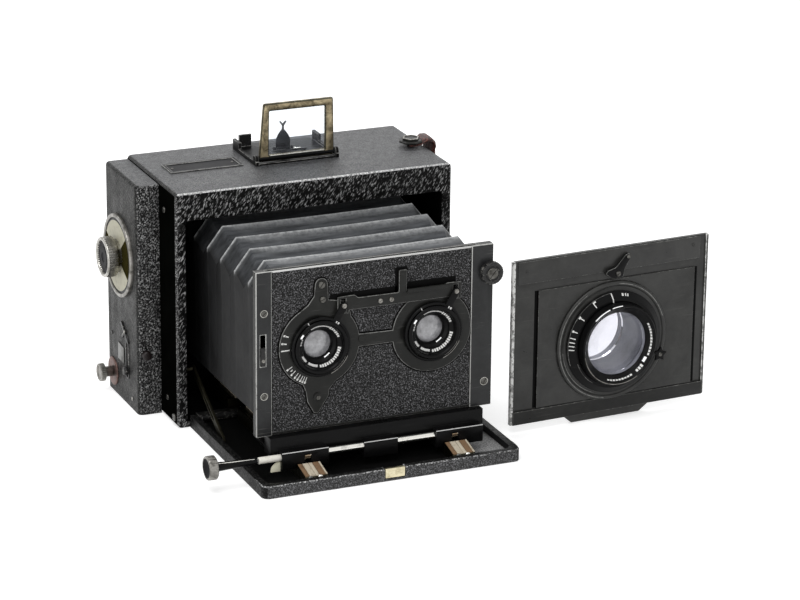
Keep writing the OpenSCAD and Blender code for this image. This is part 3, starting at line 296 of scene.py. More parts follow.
def bellows_cloth(name):
    """Charcoal bellows skin; the attribute wear whitens the ridges and the corner tips, and the attribute top
    lays a painted sheen on the top faces and chamfers.
    """
    look = begin(name)
    vector = look.place()
    broad = look.noise(vector, 60, 5.0, 0.6, 0.4)
    fine = look.noise(vector, 1500, 3.0, 0.6)
    streak = look.noise(look.place((0.35, 3.0, 1)), 160, 4.0, 0.6)
    base = look.blend(look.ramp(broad, (0.3, 0.0), (0.7, 1.0)), (0.0042, 0.0043, 0.0045),
                      (0.0082, 0.0085, 0.009))
    # pale is the painted sheen where the light falls on the top of the bellows
    pale = look.blend(look.ramp(streak, (0.3, 0.0), (0.75, 1.0)), (0.014, 0.016, 0.019),
                      (0.125, 0.132, 0.142))
    rubbed = look.ramp(look.noise(vector, 420, 4.0, 0.65), (0.32, 0.35), (0.62, 1.0))
    patch = look.times(look.attribute("wear"), rubbed)
    shade = look.blend(patch, look.blend(look.attribute("top"), base, pale), (0.62, 0.63, 0.63))
    gloss = look.ramp(broad, (0.3, 0.5), (0.7, 0.66))
    look.finish(shade, gloss, 0.2, look.plus(look.times(fine, 0.35), streak), 0.12)


def bed_floor(name):
    """Black lining of the bed: painted shade over the left and middle, and paler grey grain beside the right
    rail as a painted reflection.
    """
    look = begin(name)
    vector = look.place()
    across = look.add("ShaderNodeSeparateXYZ", Vector=vector).outputs["X"]
    # Painted light set by position: black up to x = 44 mm, turning to paler grey grain by about 61 mm
    worn = look.times(look.math("SUBTRACT", across, 0.044), 60.0)
    grain = look.noise(vector, 1300, 2.0, 0.6)
    bright = look.ramp(grain, (0.4, 0.12), (0.62, 0.4))
    share = look.ramp(worn, (0.0, 0.0), (1.0, 1.0))
    look.finish(look.blend(share, grey(0.003), bright), 0.5, 0.1, grain, 0.1)


leather("leather_band", 0.72, 0.4, grey(0.002), grey(0.52), 0.725, 0.36, 0.1, (1, 1, 3.4), 30)
leather("leather_box", 0.8, 0.5, grey(0.008), grey(0.44), 0.69, 0.36, 0.15, (1, 1, 1.4), 25)
leather("leather_side", 1.2, 0.4, grey(0.012), (0.08, 0.08, 0.074), 0.7, 0.42, 0.12, patchy=0.5)
# A lighter copy of the leather for the top faces: painted sheen from the light above
leather("leather_top_sheen", 0.8, 0.25, (0.052, 0.053, 0.055), (0.15, 0.154, 0.16), 0.68, 0.42, 0.25)
leather("leather_board", 0.74, 0.4, grey(0.012), (0.27, 0.27, 0.28), 0.71)
leather("leather_bed", 0.8, 0.3, grey(0.045), (0.23, 0.23, 0.24), 0.69, 0.4, 0.2)
leather("leather_rim", 1.0, 0.4, grey(0.005), grey(0.055), 0.69, 0.4, 0.08)
leather("strap", 1.1, 0.3, (0.045, 0.014, 0.011), (0.2, 0.075, 0.055), 0.7, 0.42, 0.3)
leather("edge_top", 0.9, 0.2, grey(0.25), grey(0.98), 0.54, 0.36, 0.3, patchy=0.6)
leather("edge_left", 0.9, 0.3, grey(0.02), grey(0.45), 0.67, patchy=0.6)
leather("edge_bed", 0.9, 0.2, grey(0.05), grey(0.8), 0.65, 0.36, 0.2, patchy=0.5)
# Pale band on edges: rubbed paint, and on the lens board's and carriage block's top edges also a painted
# highlight where the light catches them
enamel("edge_board_rubbed_and_highlit", (0.3, 0.3, 0.298), 0.35, 0.95, (0.62, 0.62, 0.61))
enamel("edge_plate", (0.06, 0.06, 0.058), 0.35, 0.6, (0.24, 0.24, 0.23))
enamel("edge_dark", grey(0.02), 0.38, 0.55, (0.3, 0.295, 0.28))
enamel("edge_bright", grey(0.1), 0.35, 0.8, (0.5, 0.5, 0.48))
enamel("edge_panel", (0.035, 0.035, 0.033), 0.35, 0.35, (0.2, 0.2, 0.19))
enamel("edge_chipped", (0.16, 0.16, 0.155), 0.35, 0.55, (0.85, 0.85, 0.83))
# Near-black with no shine: painted shade on the body's left face in front of the mechanism box
enamel("side_painted_shade", (0.0012, 0.0013, 0.0011), 0.6, grain=0.01, spec=0.0)
# Near-black with little shine: painted shade in hollows, the name plate's sunk field, the winding knob's dish
# and the focus wheel's face
enamel("recess", (0.008, 0.008, 0.009), 0.5, spec=0.1)
# Black paint of the insides, used also as painted shade: the dark rim round the ring plate, the slot above
# the link and the grooves beside the panel's field
enamel("black_inside_and_painted_shade", grey(0.002), 0.6, spec=0.05)
enamel("enamel", (0.0026, 0.0026, 0.0027), 0.3, scuff=0.06, spec=0.1)
enamel("enamel_worn", grey(0.008), 0.34, 0.25, (0.3, 0.29, 0.27), scuff=0.25, spec=0.3)
enamel("enamel_grey", (0.0105, 0.0107, 0.0098), 0.34, scuff=0.2, grain=0.015, spec=0.18)
enamel("enamel_strip", (0.0165, 0.017, 0.0175), 0.34, scuff=0.3, grain=0.015, spec=0.25)
enamel("enamel_panel", (0.022, 0.022, 0.0208), 0.32, scuff=0.14, spec=0.3)
enamel("enamel_low", (0.011, 0.011, 0.0104), 0.32, scuff=0.14, spec=0.2)
# Pale grey-blue: painted reflection on the panel lens's inner wall, seen through the glass
enamel("barrel_wall_painted_reflection", (0.16, 0.165, 0.19), 0.4)
metal("nickel", (0.46, 0.45, 0.42), 0.24, 0.5, (0.05, 0.045, 0.035))
metal("nickel_dull", (0.3, 0.29, 0.27), 0.34, 0.6, (0.03, 0.027, 0.02))
metal("chrome", (0.78, 0.77, 0.72), 0.16, 0.3, (0.12, 0.11, 0.09), (0.06, 1, 1))
# Bright metal used only for arcs that stand for glints: painted highlights on the lens rims
metal("glint_mirror", (0.85, 0.86, 0.86), 0.12, 0.15, grey(0.3))
metal("brass", (0.5, 0.4, 0.28), 0.34, 0.45, (0.16, 0.1, 0.06), (1, 0.08, 1))
metal("brass_pale", (0.72, 0.66, 0.46), 0.32, 0.4, (0.2, 0.15, 0.07))
metal("brass_olive", (0.46, 0.385, 0.245), 0.32, 0.7, (0.035, 0.025, 0.013))
metal("bronze", (0.09, 0.085, 0.06), 0.36, 0.6, (0.012, 0.01, 0.008))
metal("copper", (0.19, 0.12, 0.105), 0.42, 0.7, (0.07, 0.045, 0.04))
metal("strut", (0.03, 0.028, 0.018), 0.4, 0.6, (0.006, 0.005, 0.004))
metal("steel", (0.13, 0.13, 0.125), 0.3, 0.4, (0.02, 0.018, 0.015))
metal("screw_head", (0.13, 0.127, 0.118), 0.34, 0.7, (0.012, 0.011, 0.009))
metal("sight_steel", (0.04, 0.04, 0.042), 0.35, 0.6, grey(0.008))
paint("rail_pale", (0.62, 0.55, 0.43), 0.36, 0.6, (0.2, 0.13, 0.08))
paint("rail_brown", (0.24, 0.15, 0.085), 0.38, 0.6, (0.06, 0.035, 0.02))
paint("cream", (0.5, 0.48, 0.37), 0.42, 0.5, (0.2, 0.18, 0.12), 0.15)
paint("olive", (0.034, 0.029, 0.008), 0.5, 0.9, (0.005, 0.0045, 0.002), 0.0)
paint("ivory", (0.88, 0.85, 0.66), 0.35, 0.3)
paint("cream_white", (0.85, 0.83, 0.75), 0.3, 0.35)
paint("white", (0.85, 0.85, 0.83), 0.5, 0.3, (0.4, 0.4, 0.39))
paint("maroon", (0.008, 0.004, 0.004), 0.35, 0.5, (0.003, 0.002, 0.002))
paint("wood", (0.22, 0.13, 0.07), 0.5, 0.7, (0.09, 0.05, 0.025))
paint("cloth", grey(0.008), 0.8, 0.5, grey(0.02))
paint("glass_ground", (0.42, 0.44, 0.44), 0.5, 0.15, (0.32, 0.34, 0.34), 0.3)
clear_glass("glass", (0.93, 0.95, 0.97), 0.03, 0.03)
clear_glass("glass_panel", (0.96, 0.96, 0.98), 0.02, 0.05)
sheen_painted_glass("glass_lens", (0.36, 0.36, 0.375), 0.25)
bellows_cloth("bellows")
bed_floor("bed_floor")


# Mesh building, in millimetres

def add_object(name, data):
    o = bpy.data.objects.new(name, data)
    bpy.context.scene.collection.objects.link(o)
    return o


def opened(data):
    bm = bmesh.new()
    bm.from_mesh(data)
    return bm


def from_bmesh(bm):
    data = bpy.data.meshes.new("made")
    bm.to_mesh(data)
    bm.free()
    return data


def closed(bm):
    """The mesh with its faces turned outwards."""
    bmesh.ops.recalc_face_normals(bm, faces=bm.faces)
    return from_bmesh(bm)


def evaluated(o):
    """The mesh of an object with its modifiers applied; the object is removed."""
    bpy.context.view_layer.update()
    data = bpy.data.meshes.new_from_object(o.evaluated_get(bpy.context.evaluated_depsgraph_get()))
    bpy.data.objects.remove(o)
    return data


def with_materials(data, keys):
    for key in keys:
        data.materials.append(M[key])
    return data


def move(data, matrix):
    data.transform(matrix)
    return data


def join(parts):
    """One mesh from several, each with the slot of its faces, or the slots of its faces and rounded edges."""
    bm = bmesh.new()
    for data, index in parts:
        start = len(bm.faces)
        bm.from_mesh(data)
        bm.faces.ensure_lookup_table()
        for f in bm.faces[start:]:
            f.material_index = index[min(f.material_index, 1)] if isinstance(index, tuple) else index
    return from_bmesh(bm)


def piece(name, parts, body, materials, node=None, angle=32):
    """Puts a mesh, or parts to join, in the scene on its body, in place of the CAD node it stands for."""
    data = join(parts) if isinstance(parts, list) else parts
    data.name = name
    if not len(data.materials):
        with_materials(data, materials)
    data.shade_smooth()
    data.set_sharp_from_angle(angle=math.radians(angle))
    o = add_object(name, data)
    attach(o, body)
    if node:
        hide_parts(node)
    return o


def beveled(data, width, segments=2, edge=-1, angle=28):
    """The mesh with its edges rounded; edge is the material slot of the rounding."""
    o = add_object("bevel", data)
    b = o.modifiers.new("bevel", "BEVEL")
    b.width = width * 0.001
    b.segments = segments
    b.limit_method = "ANGLE"
    b.angle_limit = math.radians(angle)
    b.material = edge
    b.harden_normals = False
    b.use_clamp_overlap = False
    b.miter_outer = "MITER_SHARP"
    return evaluated(o)


def worn_edges(data, width, index, chosen):
    """Rounds the outer edges that chosen(middle) picks, in mm, and gives them a material slot."""
    bm = opened(data)
    edges = []
    for e in bm.edges:
        if len(e.link_faces) == 2 and e.is_convex and e.calc_face_angle(0) > 0.6:
            if chosen((e.verts[0].co + e.verts[1].co) * 500):
                edges.append(e)
    bmesh.ops.bevel(bm, geom=edges, offset=width / 1000, offset_type="OFFSET", segments=3, profile=0.5,
                    affect="EDGES", clamp_overlap=False, material=index)
    return from_bmesh(bm)


def box(x, y, z, round_by, segments=2):
    """A box between its limits, with rounded edges."""
    bm = bmesh.new()
    bmesh.ops.create_cube(bm, size=1)
    for v in bm.verts:
        for i, (low, high) in enumerate((x, y, z)):
            v.co[i] = (low + high) / 2000 + v.co[i] * (high - low) / 1000
    return beveled(from_bmesh(bm), round_by, segments)


def arc(cx, cz, r, a0, a1, steps):
    angles = [math.radians(a0 + (a1 - a0) * i / steps) for i in range(steps + 1)]
    return [(cx + r * math.cos(a), cz + r * math.sin(a)) for a in angles]


def circle(cx, cz, r, steps=72):
    return arc(cx, cz, r, 0, 360, steps)[:-1]


def rect(x0, x1, z0, z1):
    return [(x0, z0), (x1, z0), (x1, z1), (x0, z1)]


def shifted(points, x, z):
    return [(x + u, z + v) for u, v in points]


def eased(points, r, steps):
    """Curves in place of the points between the first and the last."""
    out = []
    for a, p, b in zip(points, points[1:], points[2:]):
        p = Vector(p)
        before = Vector(a) - p
        after = Vector(b) - p
        cut = min(r, before.length * 0.45, after.length * 0.45)
        start = p + before.normalized() * cut
        end = p + after.normalized() * cut
        for k in range(steps + 1):
            t = k / steps
            q = start.lerp(p, t).lerp(p.lerp(end, t), t)
            out.append((q.x, q.y))
    return out


def rounded(points, r, steps=5):
    """The closed outline with its corners rounded."""
    return eased([points[-1]] + points + [points[0]], r, steps)


def soft(points, r=0.3):
    """The open profile with its inner corners eased."""
    return [points[0]] + eased(points, r, 2) + [points[-1]]


def stadium(a, b, r, steps=10):
    turn = math.degrees(math.atan2(b[1] - a[1], b[0] - a[0]))
    return arc(*a, r, turn + 90, turn + 270, steps) + arc(*b, r, turn - 90, turn + 90, steps)


def quarter_turn(axis, angle=90):
    return Matrix.Rotation(math.radians(angle), 4, axis)


FLAT_TO = {"x": quarter_turn("Z") @ quarter_turn("X"), "y": quarter_turn("X"), "z": Matrix.Identity(4)}
UPRIGHT_TO = {"x": quarter_turn("Y"), "-x": quarter_turn("Y", -90), "-y": quarter_turn("X"),
              "z": Matrix.Identity(4)}


def stand(data, centre, axis, spin=0.0):
    """Puts a shape made upright at the origin in its place, along an axis."""
    turn = UPRIGHT_TO[axis] @ Matrix.Rotation(math.radians(spin), 4, "Z")
    return move(data, Matrix.Translation([c / 1000 for c in centre]) @ turn)


def slab(outlines, low, high, round_by=0.15, axis="y"):
    """A plate with the given outline and holes, between two depths. Outlines lie in X and Z, or Y and Z."""
    curve = bpy.data.curves.new("slab", "CURVE")
    curve.dimensions = "2D"
    curve.fill_mode = "BOTH"
    curve.extrude = max((high - low) / 2 - round_by, 0.001) * 0.001
    curve.bevel_depth = round_by * 0.001
    curve.bevel_resolution = 1
    curve.offset = -round_by * 0.001
    for points in outlines:
        s = curve.splines.new("POLY")
        s.points.add(len(points) - 1)
        for q, (u, v) in zip(s.points, points):
            q.co = (u / 1000, v / 1000, 0, 1)
        s.use_cyclic_u = True
    bm = opened(evaluated(add_object("slab", curve)))
    bmesh.ops.remove_doubles(bm, verts=bm.verts, dist=0.000002)
    middle = Vector((0, 0, 0))
    middle["xyz".index(axis)] = (low + high) / 2000
    return move(from_bmesh(bm), Matrix.Translation(middle) @ FLAT_TO[axis])


def edged(outlines, low, high, width=0.25, axis="y"):
    """A plate like slab; its rounded edges have slot 1."""
    bm = opened(slab(outlines, low, high, 0.0, axis))
    bmesh.ops.dissolve_limit(bm, angle_limit=0.01, verts=bm.verts, edges=bm.edges)
    return beveled(with_materials(from_bmesh(bm), ["enamel", "edge_dark"]), width, 2, 1, 50)


def loft(bm, rings):
    """Faces between closed rings of vertices, as one list for each pair. A point is a ring of one vertex."""
    strips = []
    for a, b in zip(rings, rings[1:]):
        strip = []
        for i in range(len(a)):
            k = (i + 1) % len(a)
            corners = list(dict.fromkeys((a[i], a[k], b[k], b[i])))
            if len(corners) > 2:
                strip.append(bm.faces.new(corners))
        strips.append(strip)
    return strips


def lathe(profile, centre, steps=96, axis="-y", ripple=None):
    """Turns a profile of (radius, height) points about an axis. ripple is (count, depth, low, high)."""
    bm = bmesh.new()
    rings = []
    for r, h in profile:
        if r < 1e-6:
            rings.append([bm.verts.new((0, 0, h / 1000))] * steps)
            continue
        ring = []
        for i in range(steps):
            a = 2 * math.pi * i / steps
            q = r
            if ripple and ripple[2] <= h <= ripple[3]:
                q = r - ripple[1] * (0.5 + 0.5 * math.cos(a * ripple[0])) ** 2
            ring.append(bm.verts.new((q * math.cos(a) / 1000, q * math.sin(a) / 1000, h / 1000)))
        rings.append(ring)
    loft(bm, rings)
    return stand(closed(bm), centre, axis)


def screw(centre, r, h, angle, axis="-y", slot=0.26):
    """A low slotted screw head standing on its seat, along the axis."""
    bm = opened(lathe([(0, 0), (r, 0), (r, h * 0.5), (0, h * 0.5)], (0, 0, 0), 28, "z"))
    reach = math.degrees(math.asin(slot / 2))
    for side in (0, 180):
        rim = [Vector((u, v, 0)) / 1000 for u, v in arc(0, 0, r, side + reach, side + 180 - reach, 12)]
        low = [bm.verts.new(v + Vector((0, 0, h * 0.5 / 1000))) for v in rim]
        high = [bm.verts.new(v * 0.9 + Vector((0, 0, h / 1000))) for v in rim]
        loft(bm, [low, high])
        bm.faces.new(high)
    return stand(closed(bm), centre, axis, angle)


def ticks(marks, centre, top, thick=0.07):
    """Marks round a centre, each (angle, inner radius, outer radius, width); top(radius) is their y."""
    bm = bmesh.new()
    for angle, r0, r1, w in marks:
        a = math.radians(angle)
        out = Vector((math.cos(a), 0, math.sin(a)))
        side = Vector((-math.sin(a), 0, math.cos(a))) * w / 2
        corners = []
        for r, s in ((r0, -1), (r1, -1), (r1, 1), (r0, 1)):
            corners.append(out * r + side * s + Vector((centre[0], top(r), centre[1])))
        back = [bm.verts.new((p + Vector((0, thick, 0))) / 1000) for p in corners]
        front = [bm.verts.new((p - Vector((0, thick, 0))) / 1000) for p in corners]
        loft(bm, [back, front])
        bm.faces.new(front)
        bm.faces.new(list(reversed(back)))
    return closed(bm)


def bands(centre, y, *rows):
    """Arcs round a centre, each (inner radius, outer radius, first angle, last angle, height, half its
    thickness, slot): white lettering, and lighter metal or enamel arcs that stand for glints as painted
    highlights."""
    parts = []
    for r0, r1, a0, a1, h, half, index in rows:
        steps = max(3, int(abs(a1 - a0) / 4))
        outline = arc(*centre, r1, a0, a1, steps) + arc(*centre, r0, a1, a0, steps)
        parts.append((slab([outline], y - h - half, y - h + half, 0.01), index))
    return parts


def inscription(spans, r0, r1, pitch):
    """Blank dashes round a lens. spans are (first angle, last angle, share of the width)."""
    out = []
    middle = (r0 + r1) / 2
    for first, last, share in spans:
        for i in range(max(1, round((last - first) / pitch))):
            half = (r1 - r0) / 2 * share * (0.8 + 0.1 * ((i * 7) % 3))
            width = 0.72 * pitch * math.radians(middle)
            out.append((first + (i + 0.5) * pitch, middle - half, middle + half, width))
    return out


def curved_lens(x, y, z, r, t, c, steps=12):
    """A lens with two curved faces of radius c, t thick in the middle."""
    front = [(r * i / steps, t / 2 - c + math.sqrt(c * c - (r * i / steps) ** 2)) for i in range(steps + 1)]
    back = [(d, -h) for d, h in reversed(front)]
    return lathe(front + back, (x, y, z))


def dress(node, body, materials, pick=None, width=0.3, segments=2, edge=-1, worn=()):
    """A copy of a CAD node with rounded edges. pick(centre, normal) gives each face its slot.

    worn lists (width, slot, chosen) for the edges that have worn most."""
    bm = opened(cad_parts[node].data)
    bmesh.ops.remove_doubles(bm, verts=bm.verts, dist=0.000004)
    bmesh.ops.dissolve_limit(bm, angle_limit=math.radians(0.6), verts=bm.verts, edges=bm.edges)
    bm.normal_update()
    for f in bm.faces:
        f.material_index = pick(f.calc_center_median() * 1000, f.normal) if pick else 0
    data = from_bmesh(bm)
    for item in worn:
        data = worn_edges(data, *item)
    data = beveled(with_materials(data, materials), width, segments, edge, 45 if worn else 28)
    return piece(node + "_skin", data, body, materials, node)


def paint_node(node, key):
    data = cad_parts[node].data
    data.materials.clear()
    data.materials.append(M[key])


# Camera body

def body_face(c, n):
    if n.y < -0.9 and c.y < FRONT_Y + 1:
        return 1
    if n.z > 0.9 and c.z > BODY_H - 1:
        return 2
    # The left face takes the near-black painted shade
    if n.x < -0.9 and c.x < -SIDE_X + 1:
        return 3
    if abs(c.x) > SIDE_X - 3 or c.z > BODY_H - 3 or c.z < 1 or c.y > BACK_Y - 1:
        return 0
    return 4


def top_edge(c):
    return c.y < FRONT_Y + 0.5 and c.z > BODY_H - 0.5


def side_edge(c):
    return c.y < FRONT_Y + 0.5 and abs(c.x) > SIDE_X - 0.5


skins = ["leather_side", "leather_band", "leather_top_sheen", "side_painted_shade", "black_inside_and_painted_shade", "edge_top", "edge_left"]
dress("body_shell", "camera", skins, body_face,
      worn=[(0.8, 5, top_edge), (1.1, 6, side_edge)])


def box_face(c, n):
    if n.z > 0.9 and c.z > 129:
        return 2
    if n.y < -0.6 and c.y < MECH_FRONT + 3:
        return 1
    inside = MECH_FRONT + 3 < c.y < BACK_Y - 3 and 1 < c.z < 128 and c.x > MECH_X + 1.9
    return 3 if inside and abs(n.x) < 0.9 else 0


def box_corner(c):
    return c.z > 129.4 and c.x < -SIDE_X - 0.5


def box_edge(c):
    return box_corner(c) and c.y < MECH_FRONT + 0.5


skins = ["leather_side", "leather_box", "leather_top_sheen", "black_inside_and_painted_shade", "edge_left", "leather_side"]
dress("mechanism_box", "camera", skins, box_face, 0.2,
      worn=[(0.8, 4, box_edge), (1.6, 5, box_corner)])

plate_rims = [rect(-69, -27.4, behind(35.6), behind(51.6)), rect(-67.2, -29.2, behind(37.4), behind(49.8))]
name_plate = [
    (edged(plate_rims, BODY_H, BODY_H + 0.8, 0.3, "z"), (0, 3)),
    (slab([rect(-68, -28.4, behind(36.6), behind(50.6))], BODY_H, BODY_H + 0.3, 0.05, "z"), 1),
]
for x in (-65.4, -31.0):
    rivet = [(0, 0.3), (0.8, 0.3), (0.7, 0.6), (0, 0.7)]
    name_plate.append((lathe(rivet, (x, behind(43.6), BODY_H), 20, "z"), 2))
plate_looks = ["enamel", "recess", "screw_head", "edge_plate"]
piece("name_plate_blank", name_plate, "camera", plate_looks, "name_plate")

boss = soft([(0, 0), (3.2, 0), (3.2, 0.28), (0, 0.28)], 0.08)
heads = [(lathe(boss, (SIDE_X, -1.3, 34), 40, "x"), 0)]
for axis, y, z, r, h, angle in (("-x", 17.5, 118, 1.7, 0.7, 20), ("-x", 15.4, 12.8, 1.6, 0.7, 70),
                                ("-x", 5, 4.8, 2.1, 0.8, 110), ("x", 12, 24, 1.6, 0.7, 15),
                                ("x", 12, 100, 1.6, 0.7, 65)):
    x = SIDE_X if axis == "x" else -SIDE_X
    heads.append((screw((x, behind(y), z), r, h, angle, axis), 0))
catch_stud = [(2.1, 0), (2.1, 0.5), (1.7, 1.1), (0.9, 1.4), (0, 1.4)]
for x in (-SIDE_X + 3.1, SIDE_X - 3.1):
    heads.append((lathe(catch_stud, (x, FRONT_Y, 113), 28), 1))
piece("case_screw_heads", heads, "camera", ["screw_head", "leather_rim"], "case_screws")

# Strap stud and carrying strap
collar = [(2, 0), (2, 2.2), (6.2, 2.2), (7, 2.7), (7, 3.2), (6.2, 3.7), (4.4, 3.7), (0, 3.7)]
hexagon = circle(STUD_X, STUD_Y, 4.9, 6)
piece("strap_stud_cap", [
    (lathe(collar, (STUD_X, STUD_Y, BODY_H), 8, "z"), 0),
    (slab([hexagon], BODY_H + 3.6, BODY_H + 4.7, 0.15, "z"), 0),
    (slab([hexagon, circle(STUD_X, STUD_Y, 4.0, 6)], BODY_H + 4.5, BODY_H + 5.0, 0.12, "z"), 1),
], "camera", ["enamel_grey", "nickel_dull"], "strap_stud", 24)


def strap_line():
    """Centre line of the strap in X and Z, from under the stud down the side."""
    line = shifted([(-1.5, 0.3), (1.5, 0.4), (4.2, 0.9), (6.2, 2.2), (7.8, 3.4), (9.6, 3.3), (10.8, 2.0),
                    (11.0, 0.4), (10.4, -1.2)], STUD_X, BODY_H)
    for i in range(1, 41):
        t = i / 40
        bulge = 2.0 * (1 - t) ** 3 + 6.0 * math.sin(math.pi * t)
        line.append((SIDE_X + 0.3 + bulge, BODY_H - 3 - t * (BODY_H - 33)))
    return line


def strap(width=16, n=12):
    """The strap's skin, with n points across its crowned top and n across its back."""
    bm = bmesh.new()
    line = strap_line()
    last = len(line) - 1
    rows = []
    for i, (x, z) in enumerate(line):
        d = (Vector(line[min(i + 1, last)]) - Vector(line[max(i - 1, 0)])).normalized()
        out = Vector((-d.y, d.x))
        if out.x < 0 and out.y < 0.2:
            out = -out
        taper = min(1.0, 0.5 + 0.5 * i / 7, 0.72 + 0.28 * (last - i) / 6)
        row = []
        for k in range(2 * n):
            side = min(k, 2 * n - 1 - k) / (n - 1)
            across = (side - 0.5) * width * taper
            edge = 1 - abs(2 * side - 1) ** 6
            height = 0.75 + 1.15 * edge if k < n else 0.3 * (1 - edge)
            p = Vector((x, z)) + out * height
            row.append(bm.verts.new((p.x / 1000, (STUD_Y + across) / 1000, p.y / 1000)))
        rows.append(row)
    loft(bm, rows)
    bm.faces.new(rows[0])
    bm.faces.new(list(reversed(rows[-1])))
    return closed(bm)


piece("carry_strap_leather", strap(), "camera", ["strap"], "carry_strap", 50)

# Mechanism box fittings
WIND = (MECH_X, WIND_Y, WIND_Z)
ring = soft([(20.8, 0), (20.8, 1.5), (21.1, 1.9), (22.5, 1.9), (23, 1.5), (23, 0)])
piece("dial_ring", lathe(ring, WIND, 144, "-x"), "camera", ["nickel_dull"], "disc_ring")


def dial(steps=144):
    """Cream disc with an olive sector and a dark outer rim."""
    bm = bmesh.new()
    rings = []
    for r, h in ((2.0, 1.5), (9.0, 1.5), (12.0, 1.5), (16.0, 1.5), (19.4, 1.5), (20.7, 1.1), (20.7, 0.1)):
        rings.append([bm.verts.new((-h / 1000, u / 1000, v / 1000)) for u, v in circle(0, 0, r, steps)])
    for j, band in enumerate(loft(bm, rings)):
        for i, f in enumerate(band):
            olive = (208 - 360 * (i + 0.5) / steps) % 180 < 70
            f.material_index = 2 if j >= 4 else 1 if olive else 0
    return move(closed(bm), Matrix.Translation([c / 1000 for c in WIND]))


piece("dial_disc", dial(), "winding", ["cream", "olive", "enamel"], "winding_dial")

grip = soft([(9.1, 0), (9.1, 1.4), (10.2, 2.0), (11.1, 2.6), (11.1, 7.9), (10.6, 8.6), (9.5, 8.6), (9.1, 8.2),
             (9.1, 7.4)], 0.25)
hollow = soft([(9.1, 7.4), (6.2, 7.4), (5.8, 7.8), (3.0, 7.8), (2.6, 7.4), (0, 7.4)], 0.2)
knob_at = (MECH_X - 1.5, WIND_Y, WIND_Z)
piece("winding_grip", [
    (lathe(grip, knob_at, 288, "-x", (48, 0.3, 2.9, 7.7)), 0),
    (lathe(hollow, knob_at, 72, "-x"), 1),
    (lathe([(0, 0), (9.1, 0)], knob_at, 72, "-x"), 0),
], "winding", ["nickel", "recess"], "winding_knob")

washer = soft([(1.7, 0), (1.7, 0.7), (7.2, 0.8), (8.0, 0.5), (8.0, 0)], 0.2)
piece("tension_washer", lathe(washer, (MECH_X, TENSION_Y, TENSION_Z), 64, "-x"), "camera", ["copper"],
      "tension_plate")
grip = soft([(1.6, -14), (1.6, 0), (2.9, 0), (2.9, 4.4), (5.0, 4.7), (5.0, 7.2), (4.6, 7.6), (3.9, 7.6),
             (3.6, 7.0), (0, 7.0)], 0.15)
grip = lathe(grip, (MECH_X - 1, TENSION_Y, TENSION_Z), 240, "-x", (30, 0.35, 4.8, 7.1))
piece("tension_grip", grip, "tension_knob", ["nickel_dull"], "tension_knob")

pin = soft([(3.4, -3.0), (3.4, -1.9), (2.6, -1.9), (2.6, 1.8), (2.2, 2.3), (0, 2.4)], 0.2)
piece("release_pin", lathe(pin, (MECH_X + 4.6, MECH_FRONT, 34.3), 48), "release_button", ["maroon"],
      "release_button")

slot_y = behind(43.8)
button = soft([(0, 0.1), (2.4, 0.1), (2.4, 1.8), (1.9, 2.6), (0, 2.6)], 0.25)
piece("time_lever_knob", [
    (box((MECH_X - 0.11, MECH_X + 1.9), (slot_y - 1.1, slot_y + 1.1), (18.2, 21.4), 0.1), 0),
    (box((MECH_X + 1.9, MECH_X + 2.9), (slot_y - 3, slot_y + 3), (17.4, 22.2), 0.1), 0),
    (lathe(button, (MECH_X, slot_y, 19.8), 40, "-x"), 0),
], "time_lever", ["enamel_worn"], "time_lever")


def box_plate(outlines, height, index, round_by=0.15):
    return slab(outlines, MECH_X - height, MECH_X, round_by, "x"), index


square = [(behind(49), 22), (behind(58.6), 22.4), (behind(58.6), 32), (behind(49), 31)]
finger = [(behind(50), 36.6), (behind(44.9), 41.6), (behind(45.8), 43.0), (behind(51), 38.4)]
slot_rims = [stadium((slot_y, 17.6), (slot_y, 38.0), 2.6), stadium((slot_y, 17.4), (slot_y, 38.2), 1.3)]
piece("mechanism_trim", [
    box_plate([rounded(square, 0.6)], 0.5, 2),
    box_plate([stadium((behind(41.6), 36.6), (behind(52), 45.0), 0.9)], 0.8, 0),
    box_plate(slot_rims, 0.35, 0, 0.1),
    box_plate([rounded(finger, 0.8)], 0.9, 0),
    (screw((MECH_X - 0.9, behind(45.6), 41.6), 1.0, 0.5, 40, "-x"), 1),
    (screw((MECH_X, behind(69.4), 33.5), 1.1, 0.4, 10, "-x"), 0),
    (screw((MECH_X, behind(36.5), 6.0), 1.1, 0.4, 75, "-x"), 1),
], "camera", ["enamel_worn", "nickel_dull", "steel"])


# Bed

def bed_face(c, n):
    if n.z > 0.9:
        return 1 if c.z < 4 else 2
    if n.y < -0.9 and c.y < ahead(BED_L - 1):
        return 5
    if abs(c.x) < BED_W / 2 - 1 and c.y > ahead(BED_L - 2) and c.z > 3:
        return 3
    return 0


def bed_edge(c):
    return c.y < ahead(BED_L - 4) and c.z > 5.5


skins = ["leather_rim", "bed_floor", "leather_rim", "enamel", "edge_bed", "leather_bed"]
dress("bed_tray", "camera", skins, bed_face, 0.25, worn=[(0.6, 4, bed_edge)])
dress("bed_hinge", "camera", ["enamel_worn", "edge_dark"], width=0.15, segments=1, edge=1)
dress("bed_struts", "camera", ["strut"], width=0.15, segments=1)


def rack(cx, y0, y1, start):
    """Rack teeth up the middle of a rail, in step with the pinion's teeth."""
    pitch = math.pi * 0.5
    count = int((y1 - 1 - start) / pitch)
    first = SHAFT_Y + pitch / 2 - pitch * math.floor((SHAFT_Y - start) / pitch)
    teeth = [(first - 0.5, 9.0)]
    for i in range(count):
        teeth += shifted([(-0.42, 11.3), (-0.14, 12.28), (0.14, 12.28), (0.42, 11.3)], first + i * pitch, 0)
    teeth.append((first + (count - 1) * pitch + 0.5, 9.0))
    return slab([teeth], cx - 1.4, cx + 1.4, 0.04, "x")


